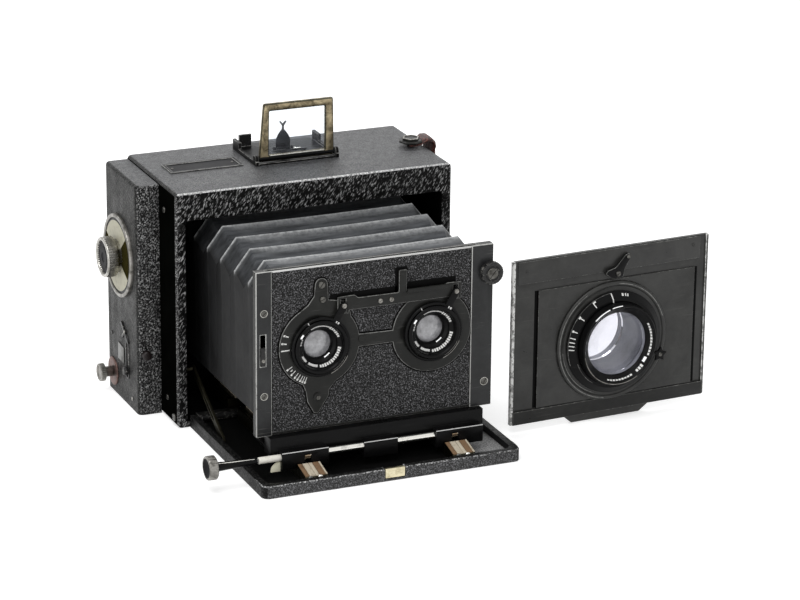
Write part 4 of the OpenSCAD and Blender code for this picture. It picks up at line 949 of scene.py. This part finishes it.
def rails():
    """Grooved rails with their racks: a long one on the bed and a short one in the body, on each side."""
    parts = []
    front = ahead(BED_L - 6.4)
    pellet = soft([(0, 0), (1.5, 0), (1.5, 0.5), (1.0, 1.0), (0, 1.1)], 0.2)
    for cx in (-RAIL_X, RAIL_X):
        def bar(outline, x0, x1, round_by, index=4):
            parts.append((slab([outline], cx + x0, cx + x1, round_by, "x"), index))

        for y0, y1, low, tip in ((front, ahead(6.5), 3.0, 7.0), (behind(7), behind(44.2), 3.2, 0.5)):
            y_top = y0 + tip + 2.4
            for x0, x1 in ((-6.25, -4.65), (-4.0, -0.9), (0.9, 4.0), (4.65, 6.25)):
                bar([(y_top, low), (y_top, 10.0), (y1, 10.0), (y1, low)], x0, x1, 0.22)
            floor = [(y0 + 0.5, low), (y0 + 0.5, low + 1.2), (y0 + tip + 0.6, 9.3), (y1 - 0.3, 9.3)]
            bar(floor + [(y1 - 0.3, low)], -6.1, 6.1, 0.05)
            if y0 == front:
                nose = [(y0 - 1.6, low), (y0 - 1.6, 7.4), (y_top, 10.0), (y_top, low)]
                # Painted shade: a dark plate over the nose's left side
                bar(nose, -6.35, -6.2, 0.05)
                for x0, x1, index in ((-6.15, -3.7, 3), (-3.5, -0.4, 0), (-0.2, 1.7, 0), (1.9, 5.1, 3),
                                      (5.3, 6.25, 0)):
                    bar(nose, x0, x1, 0.18, index)
            parts.append((rack(cx, y0, y1, max(y0 + tip + 1.2, SHAFT_Y + 2.0)), 0))
        stop = [(-2.3, 3.0), (-2.3, 6.2), (-1.5, 7.1), (-1.2, 7.1), (-1.2, 3.0)]
        bar(shifted(stop, front, 0), -6.4, 6.4, 0.3)
        for dx, index in ((-3.2, 2), (2.2, 5)):
            parts.append((lathe(pellet, (cx + dx, front - 1.3, 5.9), 28), index))
    return parts


rail_looks = ["rail_pale", "copper", "steel", "rail_brown", "strut", "chrome"]
piece("slide_rail_brass", rails(), "camera", rail_looks, "slide_rails")

catch_front = (ahead(110.7), ahead(110.3))
piece("bed_catch_brass", [
    (box((-5, 6), (ahead(110.5), ahead(108.4)), (1.6, 6.9), 0.4, 3), 0),
    (box((-3.4, 0.2), catch_front, (3.0, 5.6), 0.1), 0),
    (box((1.2, 4.4), catch_front, (3.0, 5.6), 0.1), 0),
], "bed_catch", ["brass_pale"], "bed_catch")

# Bellows
SKIN_FRONT = STD_REAR + 0.3
SKIN_REAR = behind(45.6) - 0.3


def bellows_rows():
    """The skin from front to back as (y, depth below the ridges, ridge wear, dust)."""
    pitch = (SKIN_REAR - SKIN_FRONT) / 6.12
    first = SKIN_FRONT + 0.7 * pitch
    folds = [(SKIN_FRONT, 3.4)]
    for i in range(11):
        folds.append((first + i * pitch / 2, 6.5 if i % 2 else 0.0))
    folds.append((SKIN_REAR, 3.4))
    rows = []
    for (y, d), (y1, d1) in zip(folds, folds[1:]):
        rows.append((y, d, float(d == 0), float(d == 0)))
        for t in (0.04, 0.12, 0.3, 0.5, 0.7, 0.88, 0.96):
            near = t if d == 0 else 1 - t
            depth = max(d + (d1 - d) * t - 0.35 * math.sin(math.pi * t), 0.12 * near)
            ridge = max(0.0, 1 - near / 0.13)
            dusty = max(0.0, 1 - near / 0.55) ** 1.5
            rows.append((y + (y1 - y) * t, depth, ridge, dusty))
    rows.append((*folds[-1], 0.0, 0.0))
    return rows


def bellows():
    """Folded skin: octagon rings at the folds, with rounded ridges and slightly bowed pleats."""
    half, top, bottom = 63.0, 112.5, 25.4
    low = half - 0.9
    spans = (26, 4, 14, 4, 26, 3, 12, 3)
    bm = bmesh.new()
    wear = bm.verts.layers.float.new("wear")
    painted_top_sheen = bm.verts.layers.float.new("top")
    rings = []
    for y, d, ridge, dusty in bellows_rows():
        w, t = half - 0.2 * d, top - d
        # near runs from 1 at the front to 0.28 at the back: painted shade deeper inside the body, together
        # with less wear on the top further back
        near = 1.0 - 0.72 * (y - SKIN_FRONT) / (SKIN_REAR - SKIN_FRONT)
        corners = [(low, bottom + 6), (w, t - 11), (w - 8.5, t), (-w + 8.5, t), (-w, t - 11),
                   (-low, bottom + 6), (-low + 8.5, bottom), (low - 8.5, bottom)]
        ring = []
        for k in range(8):
            for j in range(spans[k]):
                s = j / spans[k]
                p = Vector(corners[k]).lerp(Vector(corners[(k + 1) % 8]), s)
                if k == 2:
                    p.y -= 0.5 * math.sin(math.pi * s)
                if k in (0, 4):
                    p.x -= math.copysign(0.2 * math.sin(math.pi * s), p.x)
                v = bm.verts.new((p.x / 1000, y / 1000, p.y / 1000))
                slope = k in (1, 3)
                tip = (k in (2, 3, 4) and j == 0) or (k == 3 and j > 2) or (k == 1 and j < 2)
                # Painted sheen: full on the top faces, less on the chamfer slopes, fading towards the back
                v[painted_top_sheen] = near * (1.0 if k == 2 or (k == 3 and j == 0) else 0.45 if slope else 0.0)
                v[wear] = ridge * (1.0 if tip else 0.9 if slope else 0.02)
                if k == 2:
                    v[wear] = near * (0.3 * ridge + 0.62 * dusty)
                ring.append(v)
        rings.append(ring)
    loft(bm, rings)
    o = add_object("skin", closed(bm))
    thick = o.modifiers.new("thick", "SOLIDIFY")
    thick.thickness = 0.0007
    thick.offset = -1
    return evaluated(o)


skin = piece("bellows_skin", bellows(), "camera", ["bellows"], "bellows", 24)
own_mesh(skin)


# Carriage and standard

# The block's front top edge takes the pale band: painted highlight along with rubbed paint
def block_edge(c):
    return c.y < SHAFT_Y - 1.5 and c.z > 15


dress("carriage_base", "carriage", ["enamel", "edge_board_rubbed_and_highlit"], width=0.15, worn=[(0.35, 1, block_edge)])
dress("standard_frame", "carriage", ["enamel_grey", "edge_plate"], width=0.28, edge=1)
dress("rail_strips", "carriage", ["enamel_strip", "edge_bright"], width=0.4, edge=1)
heads = []
for x, z, r, angle in ((-61.85, 90.6, 1.7, 40), (-61.85, 45.5, 1.7, 65), (62.1, 37, 1.9, 60)):
    seat = [circle(x, z, r + 0.35, 36), circle(x, z, r + 0.02, 36)]
    heads.append((slab(seat, STD_Y - 0.2, STD_Y + 0.05, 0.03), 1))
    heads.append((screw((x, STD_Y, z), r, 0.6, angle), 0))
piece("standard_screw_heads", heads, "carriage", ["screw_head", "nickel"], "standard_screws")
pointer = slab([[(-56, 6.4)] + arc(-56, 6.4, 5.2, 90, 180, 14)], SHAFT_Y - 0.4, SHAFT_Y + 1, 0.15)
piece("distance_pointer_ivory", pointer, "carriage", ["ivory"], "distance_pointer")


def shaft_rod(x, r, length, index):
    ends = soft([(0, 0), (r, 0), (r, length), (0, length)], 0.2)
    return lathe(ends, (x, SHAFT_Y, SHAFT_Z), 40, "x"), index


def shaft():
    """Focusing rod: tapered black end with a gleam on it, cream sleeve and bright rod beside the pinions."""
    handle = [(2.5, 0), (2.1, 8), (1.9, 22.5), (1.2, 22.6)]
    gleam = shifted([(-90.5, 1.75), (-70.5, 1.35), (-70.5, 1.75), (-90.5, 2.3)], 0, SHAFT_Z)
    return [
        (lathe(handle, (-91.5, SHAFT_Y, SHAFT_Z), 32, "x"), 1),
        (slab([gleam], SHAFT_Y - 1.15, SHAFT_Y - 0.35, 0.03), 0),
        shaft_rod(-68.2, 1.8, 15, 2),
        shaft_rod(-52.4, 1.9, 9.4, 0),
        shaft_rod(-40, 1.9, 80, 0),
        shaft_rod(43, 1.9, 13.2, 0),
        (lathe([(1.2, 0), (1.2, 91)], (-45.5, SHAFT_Y, SHAFT_Z), 24, "x"), 0),
    ]


piece("focus_shaft_rod", shaft(), "focus_shaft", ["chrome", "enamel", "cream_white"], "focus_shaft")
wheel = soft([(1.5, -5.6), (3.0, -5.4), (5.8, -4.9), (6.4, -4.4), (6.4, -0.6), (6.0, 0), (5.2, 0)], 0.2)
wheel_at = (-96.5, SHAFT_Y, SHAFT_Z)
piece("focus_wheel", [
    (lathe(wheel, wheel_at, 240, "-x", (16, 0.4, -4.5, -0.5)), 0),
    (lathe([(5.2, 0), (4.8, -0.5), (2.2, -1.8), (0, -2.0)], wheel_at, axis="-x"), 1),
], "focus_shaft", ["nickel_dull", "recess"], "focus_knob")
cap = soft([(0, 0.1), (3.6, 0.1), (3.6, 1.2), (6.0, 1.3), (6.2, 1.7), (6.2, 4.4), (5.6, 5.0), (4.3, 5.0),
            (3.9, 4.3), (3.1, 4.3), (3.1, 4.4)], 0.15)
lock_at = (64.1, STD_Y, 98)
piece("lock_knob_cap", [
    (lathe(cap, lock_at, 216, ripple=(36, 0.35, 1.5, 4.6)), 0),
    (screw((64.1, STD_Y - 4.3, 98), 3.1, 0.7, 50, slot=0.3), 1),
    (lathe([(0, -3.0), (1.2, -3.0), (1.2, 0.2)], lock_at, 24), 0),
], "lock_knob", ["enamel_worn", "screw_head"], "lock_knob")
latch_x = -61.45
piece("rail_latch_slide", [
    (box((latch_x - 2.2, latch_x + 0.3), (STD_Y - 0.55, STD_Y + 2.1), (62.2, 72), 0.2), 0),
    (screw((latch_x - 0.95, STD_Y - 0.3, 65.2), 1.0, 0.6, 15), 1),
], "rail_latch", ["enamel_worn", "nickel_dull"], "rail_latch")


# Lens board

# The board's top edge takes a wider pale band: painted highlight along with rubbed paint
def board_edge(c):
    return c.z > LENS_Z + 25 and c.y < BOARD_Y + 0.5


dress("lens_board", "lens_board", ["enamel_grey", "edge_board_rubbed_and_highlit"], edge=1, worn=[(0.5, 1, board_edge)])
dress("board_leather", "lens_board", ["leather_board", "edge_board_rubbed_and_highlit"], width=0.1, segments=1, edge=0,
      worn=[(0.5, 1, board_edge)])


def ring_plate_outline():
    """Outline of the pressed plate, anticlockwise, as one loop round both lens discs."""
    xl, xr = LENS_X
    r = 22.3
    left = arc(xl, LENS_Z, r, 9, 38, 10)
    left += shifted([(16.6, 19.2), (14.5, 22.6), (5, 24.4)], xl, LENS_Z)
    left += arc(xl + 1, LENS_Z + 33, 3.5, 0, 180, 8)
    left += shifted([(-3.0, 27.2), (-6.4, 22.6), (-11.5, 19.1)], xl, LENS_Z)
    left += arc(xl, LENS_Z, r, 124, 246, 26)
    left += shifted([(-7.4, -24.6), (-6.6, -30), (-3.0, -36.6), (-1.5, -37), (-0.4, -36.6), (5.2, -28),
                     (5.6, -24.5), (9.0, -20.6)], xl, LENS_Z)
    left += arc(xl, LENS_Z, r, 295, 351, 14)
    return left + arc(xr, LENS_Z, r, 189, 532, 80)


def grown(points, by):
    """The anticlockwise outline moved outwards."""
    out = []
    for i, p in enumerate(points):
        along = (Vector(points[(i + 1) % len(points)]) - Vector(points[i - 1])).normalized()
        out.append((p[0] + along.y * by, p[1] - along.x * by))
    return out


def on_left_lens(dx, y, dz):
    return LENS_X[0] + dx, y, LENS_Z + dz


plate = [ring_plate_outline()] + [circle(x, LENS_Z, 12.25) for x in LENS_X]
shadow = [grown(ring_plate_outline(), 0.75)] + [circle(x, LENS_Z, 13, 64) for x in LENS_X]
piece("ring_plate_pressed", [
    (edged(plate, RING_Y, LEATHER_Y, 0.3), (0, 3)),
    (slab(shadow, LEATHER_Y - 0.05, LEATHER_Y + 0.05, 0.01), 4),
    (screw(on_left_lens(1, RING_Y, 33), 1.9, 0.8, 55), 2),
    (screw(on_left_lens(1.6, RING_Y, 25), 1.7, 0.8, 20), 2),
    (lathe([(2.3, 0), (2.3, 0.5), (1.5, 0.8), (0, 1.0)], on_left_lens(-1, RING_Y, -28), 28), 0),
    (screw(on_left_lens(-1, RING_Y - 0.9, -28), 1.2, 0.5, 75), 2),
    (lathe([(2.0, 0), (1.8, 0.4), (0, 0.5)], on_left_lens(23.4, RING_Y, 1), 24), 0),
], "lens_board", ["enamel_grey", "enamel_worn", "screw_head", "edge_plate", "black_inside_and_painted_shade"], "ring_plate")
long_marks = (158, 170)
short_marks = (212, 222, 229, 234, 239, 243, 247)
marks = [(a, 18.4, 20.6, 0.6) for a in long_marks] + [(181, 16.6, 21.2, 0.6)]
marks += [(a, 17.8, 20.6, 0.35) for a in short_marks]
marks += [(a, 20.2, 21.4, 0.95) for a in long_marks + short_marks] + [(217, 18.6, 20.0, 0.5)]
scale = ticks(marks, (LENS_X[0], LENS_Z), lambda r: RING_Y, 0.06)
piece("speed_scale", scale, "lens_board", ["white"])

barrel = soft([(8.4, -4.4), (12.15, -4.4), (12.15, 0), (14.2, 0), (14.2, 2.95), (14.6, 3.0), (14.6, 3.6),
               (13.9, 4.15), (12.9, 4.15), (12.3, 3.3), (11.9, 1.7), (11.7, 1.3), (9.9, 0.4), (9.5, -0.6),
               (8.0, -1.8), (7.5, -2.6), (7.4, -4.0), (8.4, -4.2)], 0.18)
barrel_looks = ["enamel", "nickel_dull", "glint_mirror", "white"]
for x, tag in zip(LENS_X, ("left", "right")):
    spot = (x, LENS_Z)
    parts = [
        (lathe(barrel, (x, RING_Y, LENS_Z), 128), 0),
        # Painted glints: the arcs in slots 1 and 2 on the rim and at the lower right edge of the glass; the
        # white arcs are lettering
        *bands(spot, RING_Y, (13.0, 14.0, 141, 151, 4.14, 0.06, 2), (14.0, 14.3, -64, -26, 3.86, 0.06, 1),
               (7.5, 8.3, -66, -40, -1.6, 0.2, 2), (10.7, 11.7, 62, 118, 0.95, 0.12, 3),
               (11.1, 11.6, 118, 150, 0.95, 0.12, 3), (10.2, 11.6, 204, 224, 0.95, 0.12, 3),
               (10.0, 11.5, 232, 262, 0.95, 0.12, 3)),
    ]
    piece("lens_barrel_" + tag, parts, "lens_board", barrel_looks, "lens_barrels" if tag == "left" else None)
    dashes = inscription([(20, 60, 1.0), (152, 176, 0.6), (268, 352, 1.15)], 10.2, 11.5, 7)
    dashes = ticks(dashes, spot, lambda r: RING_Y - (0.4 + (r - 9.9) * 0.5) - 0.12, 0.05)
    piece("lens_marks_" + tag, dashes, "lens_board", ["white"])

glasses = [(curved_lens(x, RING_Y + 4.4, LENS_Z, 7.6, 4.0, 20), 0) for x in LENS_X]
piece("lens_glass_pair", glasses, "lens_board", ["glass_lens"], "lens_glasses", 40)

# Diaphragm rings and the link between their pins
rim = soft([(14.28, 0.15), (15.5, 0.15), (16.2, 0.5), (16.2, 2.3), (15.7, 2.8), (14.9, 2.8), (14.28, 2.4)],
           0.15)
for x, side, tag in zip(LENS_X, ("left", "right"), ("one", "two")):
    spot = (x, LENS_Z)
    root = (x + PIN_DX * 0.62, LENS_Z + PIN_DZ * 0.62)
    tip = (x + PIN_DX, LENS_Z + PIN_DZ)
    notches = [(57, 14.5, 15.7, 0.7), (52, 14.5, 15.7, 0.9), (118, 14.5, 15.9, 0.4)]
    piece("iris_ring_" + tag, [
        (lathe(rim, (x, RING_Y, LENS_Z), 240, ripple=(60, 0.22, 0.7, 2.1)), 0),
        (slab([stadium(root, tip, 1.95)], RING_Y - 2.8, RING_Y - 1.8), 0),
        (lathe([(1, 0.4), (1, 2.7)], (tip[0], RING_Y, tip[1]), 24), 1),
        (screw((tip[0], RING_Y - 2.75, tip[1]), 1.3, 0.5, 35), 1),
        (ticks(notches, spot, lambda r: RING_Y - 2.8, 0.05), 2),
        # Painted highlight: a dull nickel arc on the ring's outer edge at the lower right
        *bands(spot, RING_Y, (15.75, 16.0, -70, -24, 2.74, 0.06, 1)),
    ], "iris_" + side, ["enamel", "nickel_dull", "white"], "iris_ring_" + side)

z = LENS_Z + PIN_DZ
x0, x1 = [x + PIN_DX for x in LENS_X]
bar = shifted([(-3.2, -4.6), (3.2, -4.6), (3.2, -3)], x0, z)
bar += shifted([(-3.2, -3), (-3.2, -4.6), (3.2, -4.6), (3.2, 4.6), (-4.4, 4.9), (-8, 3.1)], x1, z)
bar += shifted([(35.4, 3.1), (35.4, 15), (31, 15), (31, 3.1), (8.2, 3.1), (6.2, 4.9), (-3.2, 4.6)], x0, z)
holes = [rect(x - 1.4, x + 1.4, z - 3.8, z + 3.4) for x in (x0, x1)]
piece("iris_link_bar", [
    (edged([rounded(bar, 0.8)] + holes, RING_Y - 1.5, RING_Y - 0.3, 0.22), (0, 2)),
    (screw((1.6, RING_Y - 1.5, z - 0.2), 1.3, 0.6, 25), 1),
    (screw((7.8, RING_Y - 1.5, z - 0.2), 1.3, 0.6, 60), 1),
    (box((x0 + 35.4, x1 - 5), (RING_Y - 2.6, RING_Y - 1.4), (z + 2.4, z + 4.5), 0.2), 0),
    (box((x0 + 31.3, x0 + 35.1), (RING_Y - 1.9, RING_Y - 1.4), (z + 3, z + 14.6), 0.2), 0),
], "iris_link", ["enamel_grey", "nickel_dull", "edge_plate"], "iris_link")
# Painted shade: flat black sheets at the leather's face stand for the dark slot above and beside the link
channel = [rect(x0 - 6.5, x0 + 31, z - 3, z + 6.0), rect(x0 + 35.4, x1 + 1, z - 3, z + 7.4),
           rect(x0 + 29.6, x0 + 36.6, z, z + 16)]
channel = [(slab([outline], LEATHER_Y - 0.06, LEATHER_Y + 0.05, 0.01), 0) for outline in channel]
piece("link_slot_painted_shade", channel, "lens_board", ["black_inside_and_painted_shade"])

# Finder
half, low = 21.85, BODY_H + 1.5
outer = shifted([(-half, 0), (half, 0), (half - 0.5, 32.5), (-half + 2.8, 32.5)], FINDER_X, low)
opening = shifted([(-16, 3.6), (16.4, 3.6), (16.4, 28.1), (-15.6, 28.1)], FINDER_X, low)
hinge = soft([(0.75, 0), (1.5, 0), (1.5, 2 * half), (0.75, 2 * half)], 0.2)
sill = (FINDER_X - 15.6, FINDER_X + 16)
piece("finder_brass", [
    (edged([rounded(outer, 1.4), rounded(opening, 0.5)], FINDER_Y - 1.1, FINDER_Y + 1.1, 0.75), (0, 2)),
    (lathe(hinge, (FINDER_X - half, FINDER_Y, FINDER_Z), 28, "x"), 3),
    (box(sill, (FINDER_Y - 1.3, FINDER_Y - 1.0), (low + 0.9, low + 2.9), 0.12), 3),
    (box(sill, (FINDER_Y - 1.35, FINDER_Y - 1.0), (low + 3.1, low + 3.6), 0.12), 1),
], "finder_frame", ["brass_olive", "chrome", "bronze", "enamel"], "finder_frame")
dress("finder_base", "camera", ["enamel", "edge_dark"], width=0.15, segments=1, edge=1)

blade = [(3.9, 1.7), (4.2, 5.0), (4.0, 7.2), (3.0, 9.4), (1.7, 11.2), (0.55, 12.6), (0.5, 14.6), (2.1, 16.8),
         (1.5, 17.3), (0, 15.7)]
blade += [(-u, v) for u, v in reversed(blade[:-1])]
pivot = [(0.45, 0), (0.75, 0), (0.75, 7.8), (0.45, 7.8)]
piece("rear_sight_blade", [
    (slab([rounded(shifted(blade, FINDER_X, BODY_H), 0.4, 3)], SIGHT_Y - 0.5, SIGHT_Y + 0.5), 0),
    (lathe(pivot, (FINDER_X - 3.9, SIGHT_Y, BODY_H + 1.9), 24, "x"), 0),
], "rear_sight", ["sight_steel"], "rear_sight")
spring = []
for x0, x1, y0, y1, top, index in ((5.0, 9.4, 3.4, 2.2, 2.1, 1), (5.4, 6.6, 4.6, 1.8, 2.5, 1),
                                   (8.8, 12, 5.0, 3.6, 2.2, 0)):
    spring.append((box((FINDER_X + x0, FINDER_X + x1), (SIGHT_Y - y0, SIGHT_Y - y1),
                       (BODY_H + 1.2, BODY_H + top), 0.2), index))
piece("sight_spring", spring, "camera", ["sight_steel", "chrome"])


# Second lens panel, made round its own origin and then stood in its place

def panel_piece(name, parts, body, materials, node=None, angle=32):
    return piece(name, move(join(parts), PANEL), body, materials, node, angle)


def on_lens(profile, y, steps, ripple=None):
    return lathe(profile, (PANEL_LENS[0], y, PANEL_LENS[1]), steps, ripple=ripple)


hw, low, top = PANEL_HALF, PANEL_LOW, PANEL_TOP
sheet = [(-hw, low), (-27, low), (-22, 0.1), (20, 0.1), (26, low), (hw, low), (hw, top), (-hw, top)]
field = [rect(-44.4, 51.6, 12.4, 79.0), circle(*PANEL_LENS, 33.6, 96)]
panel_piece("panel_sheet", [
    (edged([sheet, circle(*PANEL_LENS, 20.45, 96)], 0, 2.0, 0.2), (0, 3)),
    (edged([rect(-hw, hw, 4.45, 12.0)], -1.4, 0.05, 0.35), (4, 3)),
    (edged([rounded(rect(-hw + 2, hw - 4, 83.6, 96.1), 0.6)], -0.7, 0.05), (0, 3)),
    (edged(field, -1.0, 0.05, 0.2), (0, 3)),
    (edged([rect(-hw - 1.2, -hw + 0.4, low, top)], -0.8, 2.0, 0.35), (1, 1)),
    (edged([rect(hw - 0.4, hw + 1.2, low, top)], -0.8, 2.0, 0.35), (3, 1)),
    # Painted shade: thin black strips fill the grooves beside the raised field
    (slab([rect(-46.35, -44.45, 12.5, 78.9)], -0.03, 0.03, 0.005), 2),
    (slab([rect(51.65, 53.55, 12.5, 78.9)], -0.06, 0.03, 0.005), 2),
    (slab([rect(-44.44, -44.34, 12.5, 78.9)], -0.9, 0.03, 0.005), 2),
    (screw((-51.5, -0.7, 90.5), 0.9, 0.3, 30), 0),
    (screw((50.5, -0.7, 91.5), 0.9, 0.3, 75), 0),
], "panel", ["enamel_panel", "edge_chipped", "black_inside_and_painted_shade", "edge_panel", "enamel_low"], "panel_plate")

flange = soft([(20.45, 0), (33.5, 0), (33.5, 0.8), (32.8, 1.4), (31.4, 1.4), (30.9, 0.8), (29.6, 0.75),
               (25.0, 2.0), (20.45, 2.0)], 0.2)
panel_piece("panel_flange_ring", [
    (on_lens(flange, FLANGE_Y, 160), 0),
    *bands(PANEL_LENS, FLANGE_Y, (32.1, 32.5, 120, 262, 1.45, 0.06, 1), (32.1, 32.5, 18, 84, 1.45, 0.06, 1),
           (30.1, 30.4, 186, 250, 0.82, 0.06, 1)),
], "panel", ["enamel_panel", "edge_plate"], "panel_flange")

barrel = soft([(17.6, -25), (20.4, -25), (20.4, 0), (22.8, 0), (22.8, 3.75), (23.3, 3.8), (23.3, 4.9),
               (22.5, 7.8), (22.0, 8.15), (21.6, 8.15), (21.3, 7.7), (18.0, 4.7), (17.55, 3.9)], 0.2)
bore = [(17.55, 3.9), (17.55, 0.4), (17.25, -1.0), (17.25, -25), (17.6, -25)]
panel_piece("panel_barrel_tube", [
    (on_lens(barrel, FLANGE_Y - 2, 160), 0),
    (on_lens(bore, FLANGE_Y - 2, 128), 1),
    # Painted glints: arcs of dull nickel and bright metal round the rim
    *bands(PANEL_LENS, FLANGE_Y, (21.65, 21.95, 190, 300, 10.16, 0.06, 2),
           (22.0, 22.7, 108, 134, 9.9, 0.2, 3), (22.2, 22.7, 88, 104, 9.9, 0.2, 3),
           (18.4, 21.2, 322, 331, 8.4, 0.25, 3)),
], "panel", ["enamel", "barrel_wall_painted_reflection", "nickel_dull", "glint_mirror"], "panel_barrel")
dashes = inscription([(250, 298, 0.5), (303, 318, 0.9), (334, 388, 0.6)], 19.3, 20.7, 5.1)
dashes = ticks(dashes, PANEL_LENS, lambda r: FLANGE_Y - 2 - (4.7 + (r - 18.0) * 0.91) - 0.15, 0.06)
panel_piece("panel_marks", [(dashes, 0)], "panel", ["white"])
panel_piece("panel_glasses", [
    (curved_lens(PANEL_LENS[0], FLANGE_Y - 3.2, PANEL_LENS[1], 17.5, 4.4, 75, 16), 0),
    (curved_lens(PANEL_LENS[0], FLANGE_Y + 18.2, PANEL_LENS[1], 17.2, 5, 90, 16), 0),
], "panel", ["glass_panel"], "panel_glass", 40)

# The panel's stop ring, with a star knob and its scale
ring = soft([(22.85, 0.1), (28.8, 0.1), (28.8, 0.9), (28.2, 1.2), (25.2, 3.5), (23.5, 3.5), (22.85, 3.2)],
            0.2)
star_x, star_z = PANEL_LENS[0] + 26.3, PANEL_LENS[1] - 9.6
tips = arc(star_x, star_z, 4.3, 12, 372, 5)
hollows = arc(star_x, star_z, 2.4, 48, 408, 5)
star = [p for pair in zip(tips[:5], hollows) for p in pair]
panel_piece("panel_stop_ring", [
    (on_lens(ring, FLANGE_Y - 2.05, 320, (80, 0.15, 0.3, 0.8)), 0),
    *bands(PANEL_LENS, FLANGE_Y, (28.15, 28.5, 96, 200, 3.3, 0.1, 2), (24.8, 25.1, 200, 236, 5.6, 0.1, 2)),
    (slab([rounded(star, 0.5, 3)], FLANGE_Y - 8.1, FLANGE_Y - 6.6, 0.25), 0),
    (lathe([(1.5, 3.4), (1.5, 4.8)], (star_x, FLANGE_Y - 2, star_z), 24), 0),
    (screw((star_x, FLANGE_Y - 8.1, star_z), 1.1, 0.3, 50), 1),
], "panel_iris", ["enamel", "screw_head", "edge_panel"], "panel_iris_ring")
marks = [(a, 25.6, 28.0, 0.5) for a in (181, 176.5, 172, 167)]
marks += [(159, 25.6, 27.4, 0.5), (159, 27.2, 27.9, 1.1), (142, 25.4, 28.0, 0.5), (142, 27.3, 28.0, 1.5),
          (120, 25.3, 28.0, 0.5), (118, 27.4, 28.0, 1.4), (96, 23.5, 25.2, 0.6), (96, 25.2, 28.2, 0.6),
          (82, 26.4, 27.6, 1.1), (78, 26.4, 27.6, 0.7), (75, 26.4, 27.6, 0.7)]
marks = ticks(marks, PANEL_LENS, lambda r: FLANGE_Y - 2.13 - min(3.5, 1.2 + (28.2 - r) * 0.77), 0.05)
panel_piece("panel_stop_marks", [(marks, 0)], "panel_iris", ["white"])

lever_x, lever_z = 2.9, 82.4
arm = shifted([(-3.4, -2.6), (3.2, -2.4), (4.0, 2.2), (7.6, 8.2), (6.6, 11.0), (4.2, 10.0), (-1.6, 3.6),
               (-6.4, 2.4), (-7.6, 0.6)], lever_x, lever_z)
panel_piece("panel_lever_arm", [
    (edged([rounded(arm, 1.2)], -2.6, -1.1, 0.3), (0, 2)),
    (screw((lever_x, -2.6, lever_z), 1.5, 0.6, 25), 1),
    (lathe([(1.0, 0.73), (1.0, 1.2)], (lever_x, 0, lever_z), 24), 0),
    (lathe([(1.1, 0), (1.1, 0.7), (0.7, 1.0), (0, 1.0)], (lever_x + 5.9, -2.6, lever_z + 9.0), 24), 1),
], "panel_lever", ["enamel", "screw_head", "edge_panel"], "panel_lever")

# Back, and the nodes that keep their CAD shape
dress("back_frame", "camera", ["enamel", "edge_dark"], width=0.2, segments=1, edge=1)
dress("hood_cover", "hood_cover", ["leather_side", "edge_dark"], edge=1)
for node, key in {
    "tripod_socket": "brass_pale", "hinge_pins": "steel", "bellows_frame": "black_inside_and_painted_shade",
    "shutter_curtain": "cloth", "winding_gear": "brass", "upper_roller": "wood", "roller_gear": "brass",
    "lower_roller": "wood", "ground_glass": "glass_ground", "back_catch": "nickel", "focus_pinions": "brass",
    "rear_cells": "enamel", "finder_lens": "glass",
}.items():
    paint_node(node, key)

# Camera
eye = Vector((-0.6543, -1.6693, 0.6771))
right = Vector((0.9194, -0.3932, 0.0099))
up = Vector((0.1211, 0.3070, 0.9440))
back = right.cross(up).normalized()
up = back.cross(right).normalized()
view = add_object("view", bpy.data.cameras.new("view"))
view.matrix_world = Matrix.Translation(eye) @ Matrix((right, up, back)).transposed().to_4x4()
view.data.lens = 155.3
view.data.sensor_width = 36
view.data.clip_start = 0.05
view.data.clip_end = 50
bpy.context.scene.camera = view


# Lights, white background and floor

def lamp(name, at, aim, size, power):
    data = bpy.data.lights.new(name, "AREA")
    data.shape = "RECTANGLE"
    data.size, data.size_y = size
    data.energy = power
    o = add_object(name, data)
    o.location = at
    o.rotation_euler = (Vector(aim) - Vector(at)).to_track_quat("-Z", "Y").to_euler()


lamp("key", (-0.5, -0.5, 1.3), (0, -0.05, 0.05), (0.9, 0.6), 8)
lamp("rim", (0.3, 0.9, 1.0), (0, 0, 0.08), (1.2, 0.5), 6)
lamp("fill", (-1.2, -0.9, 0.35), (0, -0.05, 0.07), (0.5, 0.9), 3)

world = bpy.data.worlds.new("studio")
bpy.context.scene.world = world
sky = Nodes(world)
background = sky.tree.nodes["Background"]
background.inputs["Color"].default_value = (1, 1, 1, 1)
sky.feed(sky.plus(sky.times(sky.seen(), 0.45), 0.55), background.inputs["Strength"])

bm = bmesh.new()
bmesh.ops.create_grid(bm, x_segments=1, y_segments=1, size=6)
ground = add_object("ground", from_bmesh(bm))
ground.location = (0, 0, -0.0002)
floor = begin("floor")
floor.finish(grey(0.8), 0.9, 0.0)
glow = floor.add("ShaderNodeEmission", Color=grey(1), Strength=floor.times(floor.seen(), 0.55))
both = floor.add("ShaderNodeAddShader")
floor.feed(floor.shader.outputs[0], both.inputs[0])
floor.feed(glow.outputs[0], both.inputs[1])
floor.feed(both.outputs[0], floor.tree.nodes["Material Output"].inputs["Surface"])
ground.data.materials.append(M["floor"])

bpy.context.scene.view_settings.view_transform = "Standard"

bpy.context.view_layer.update()
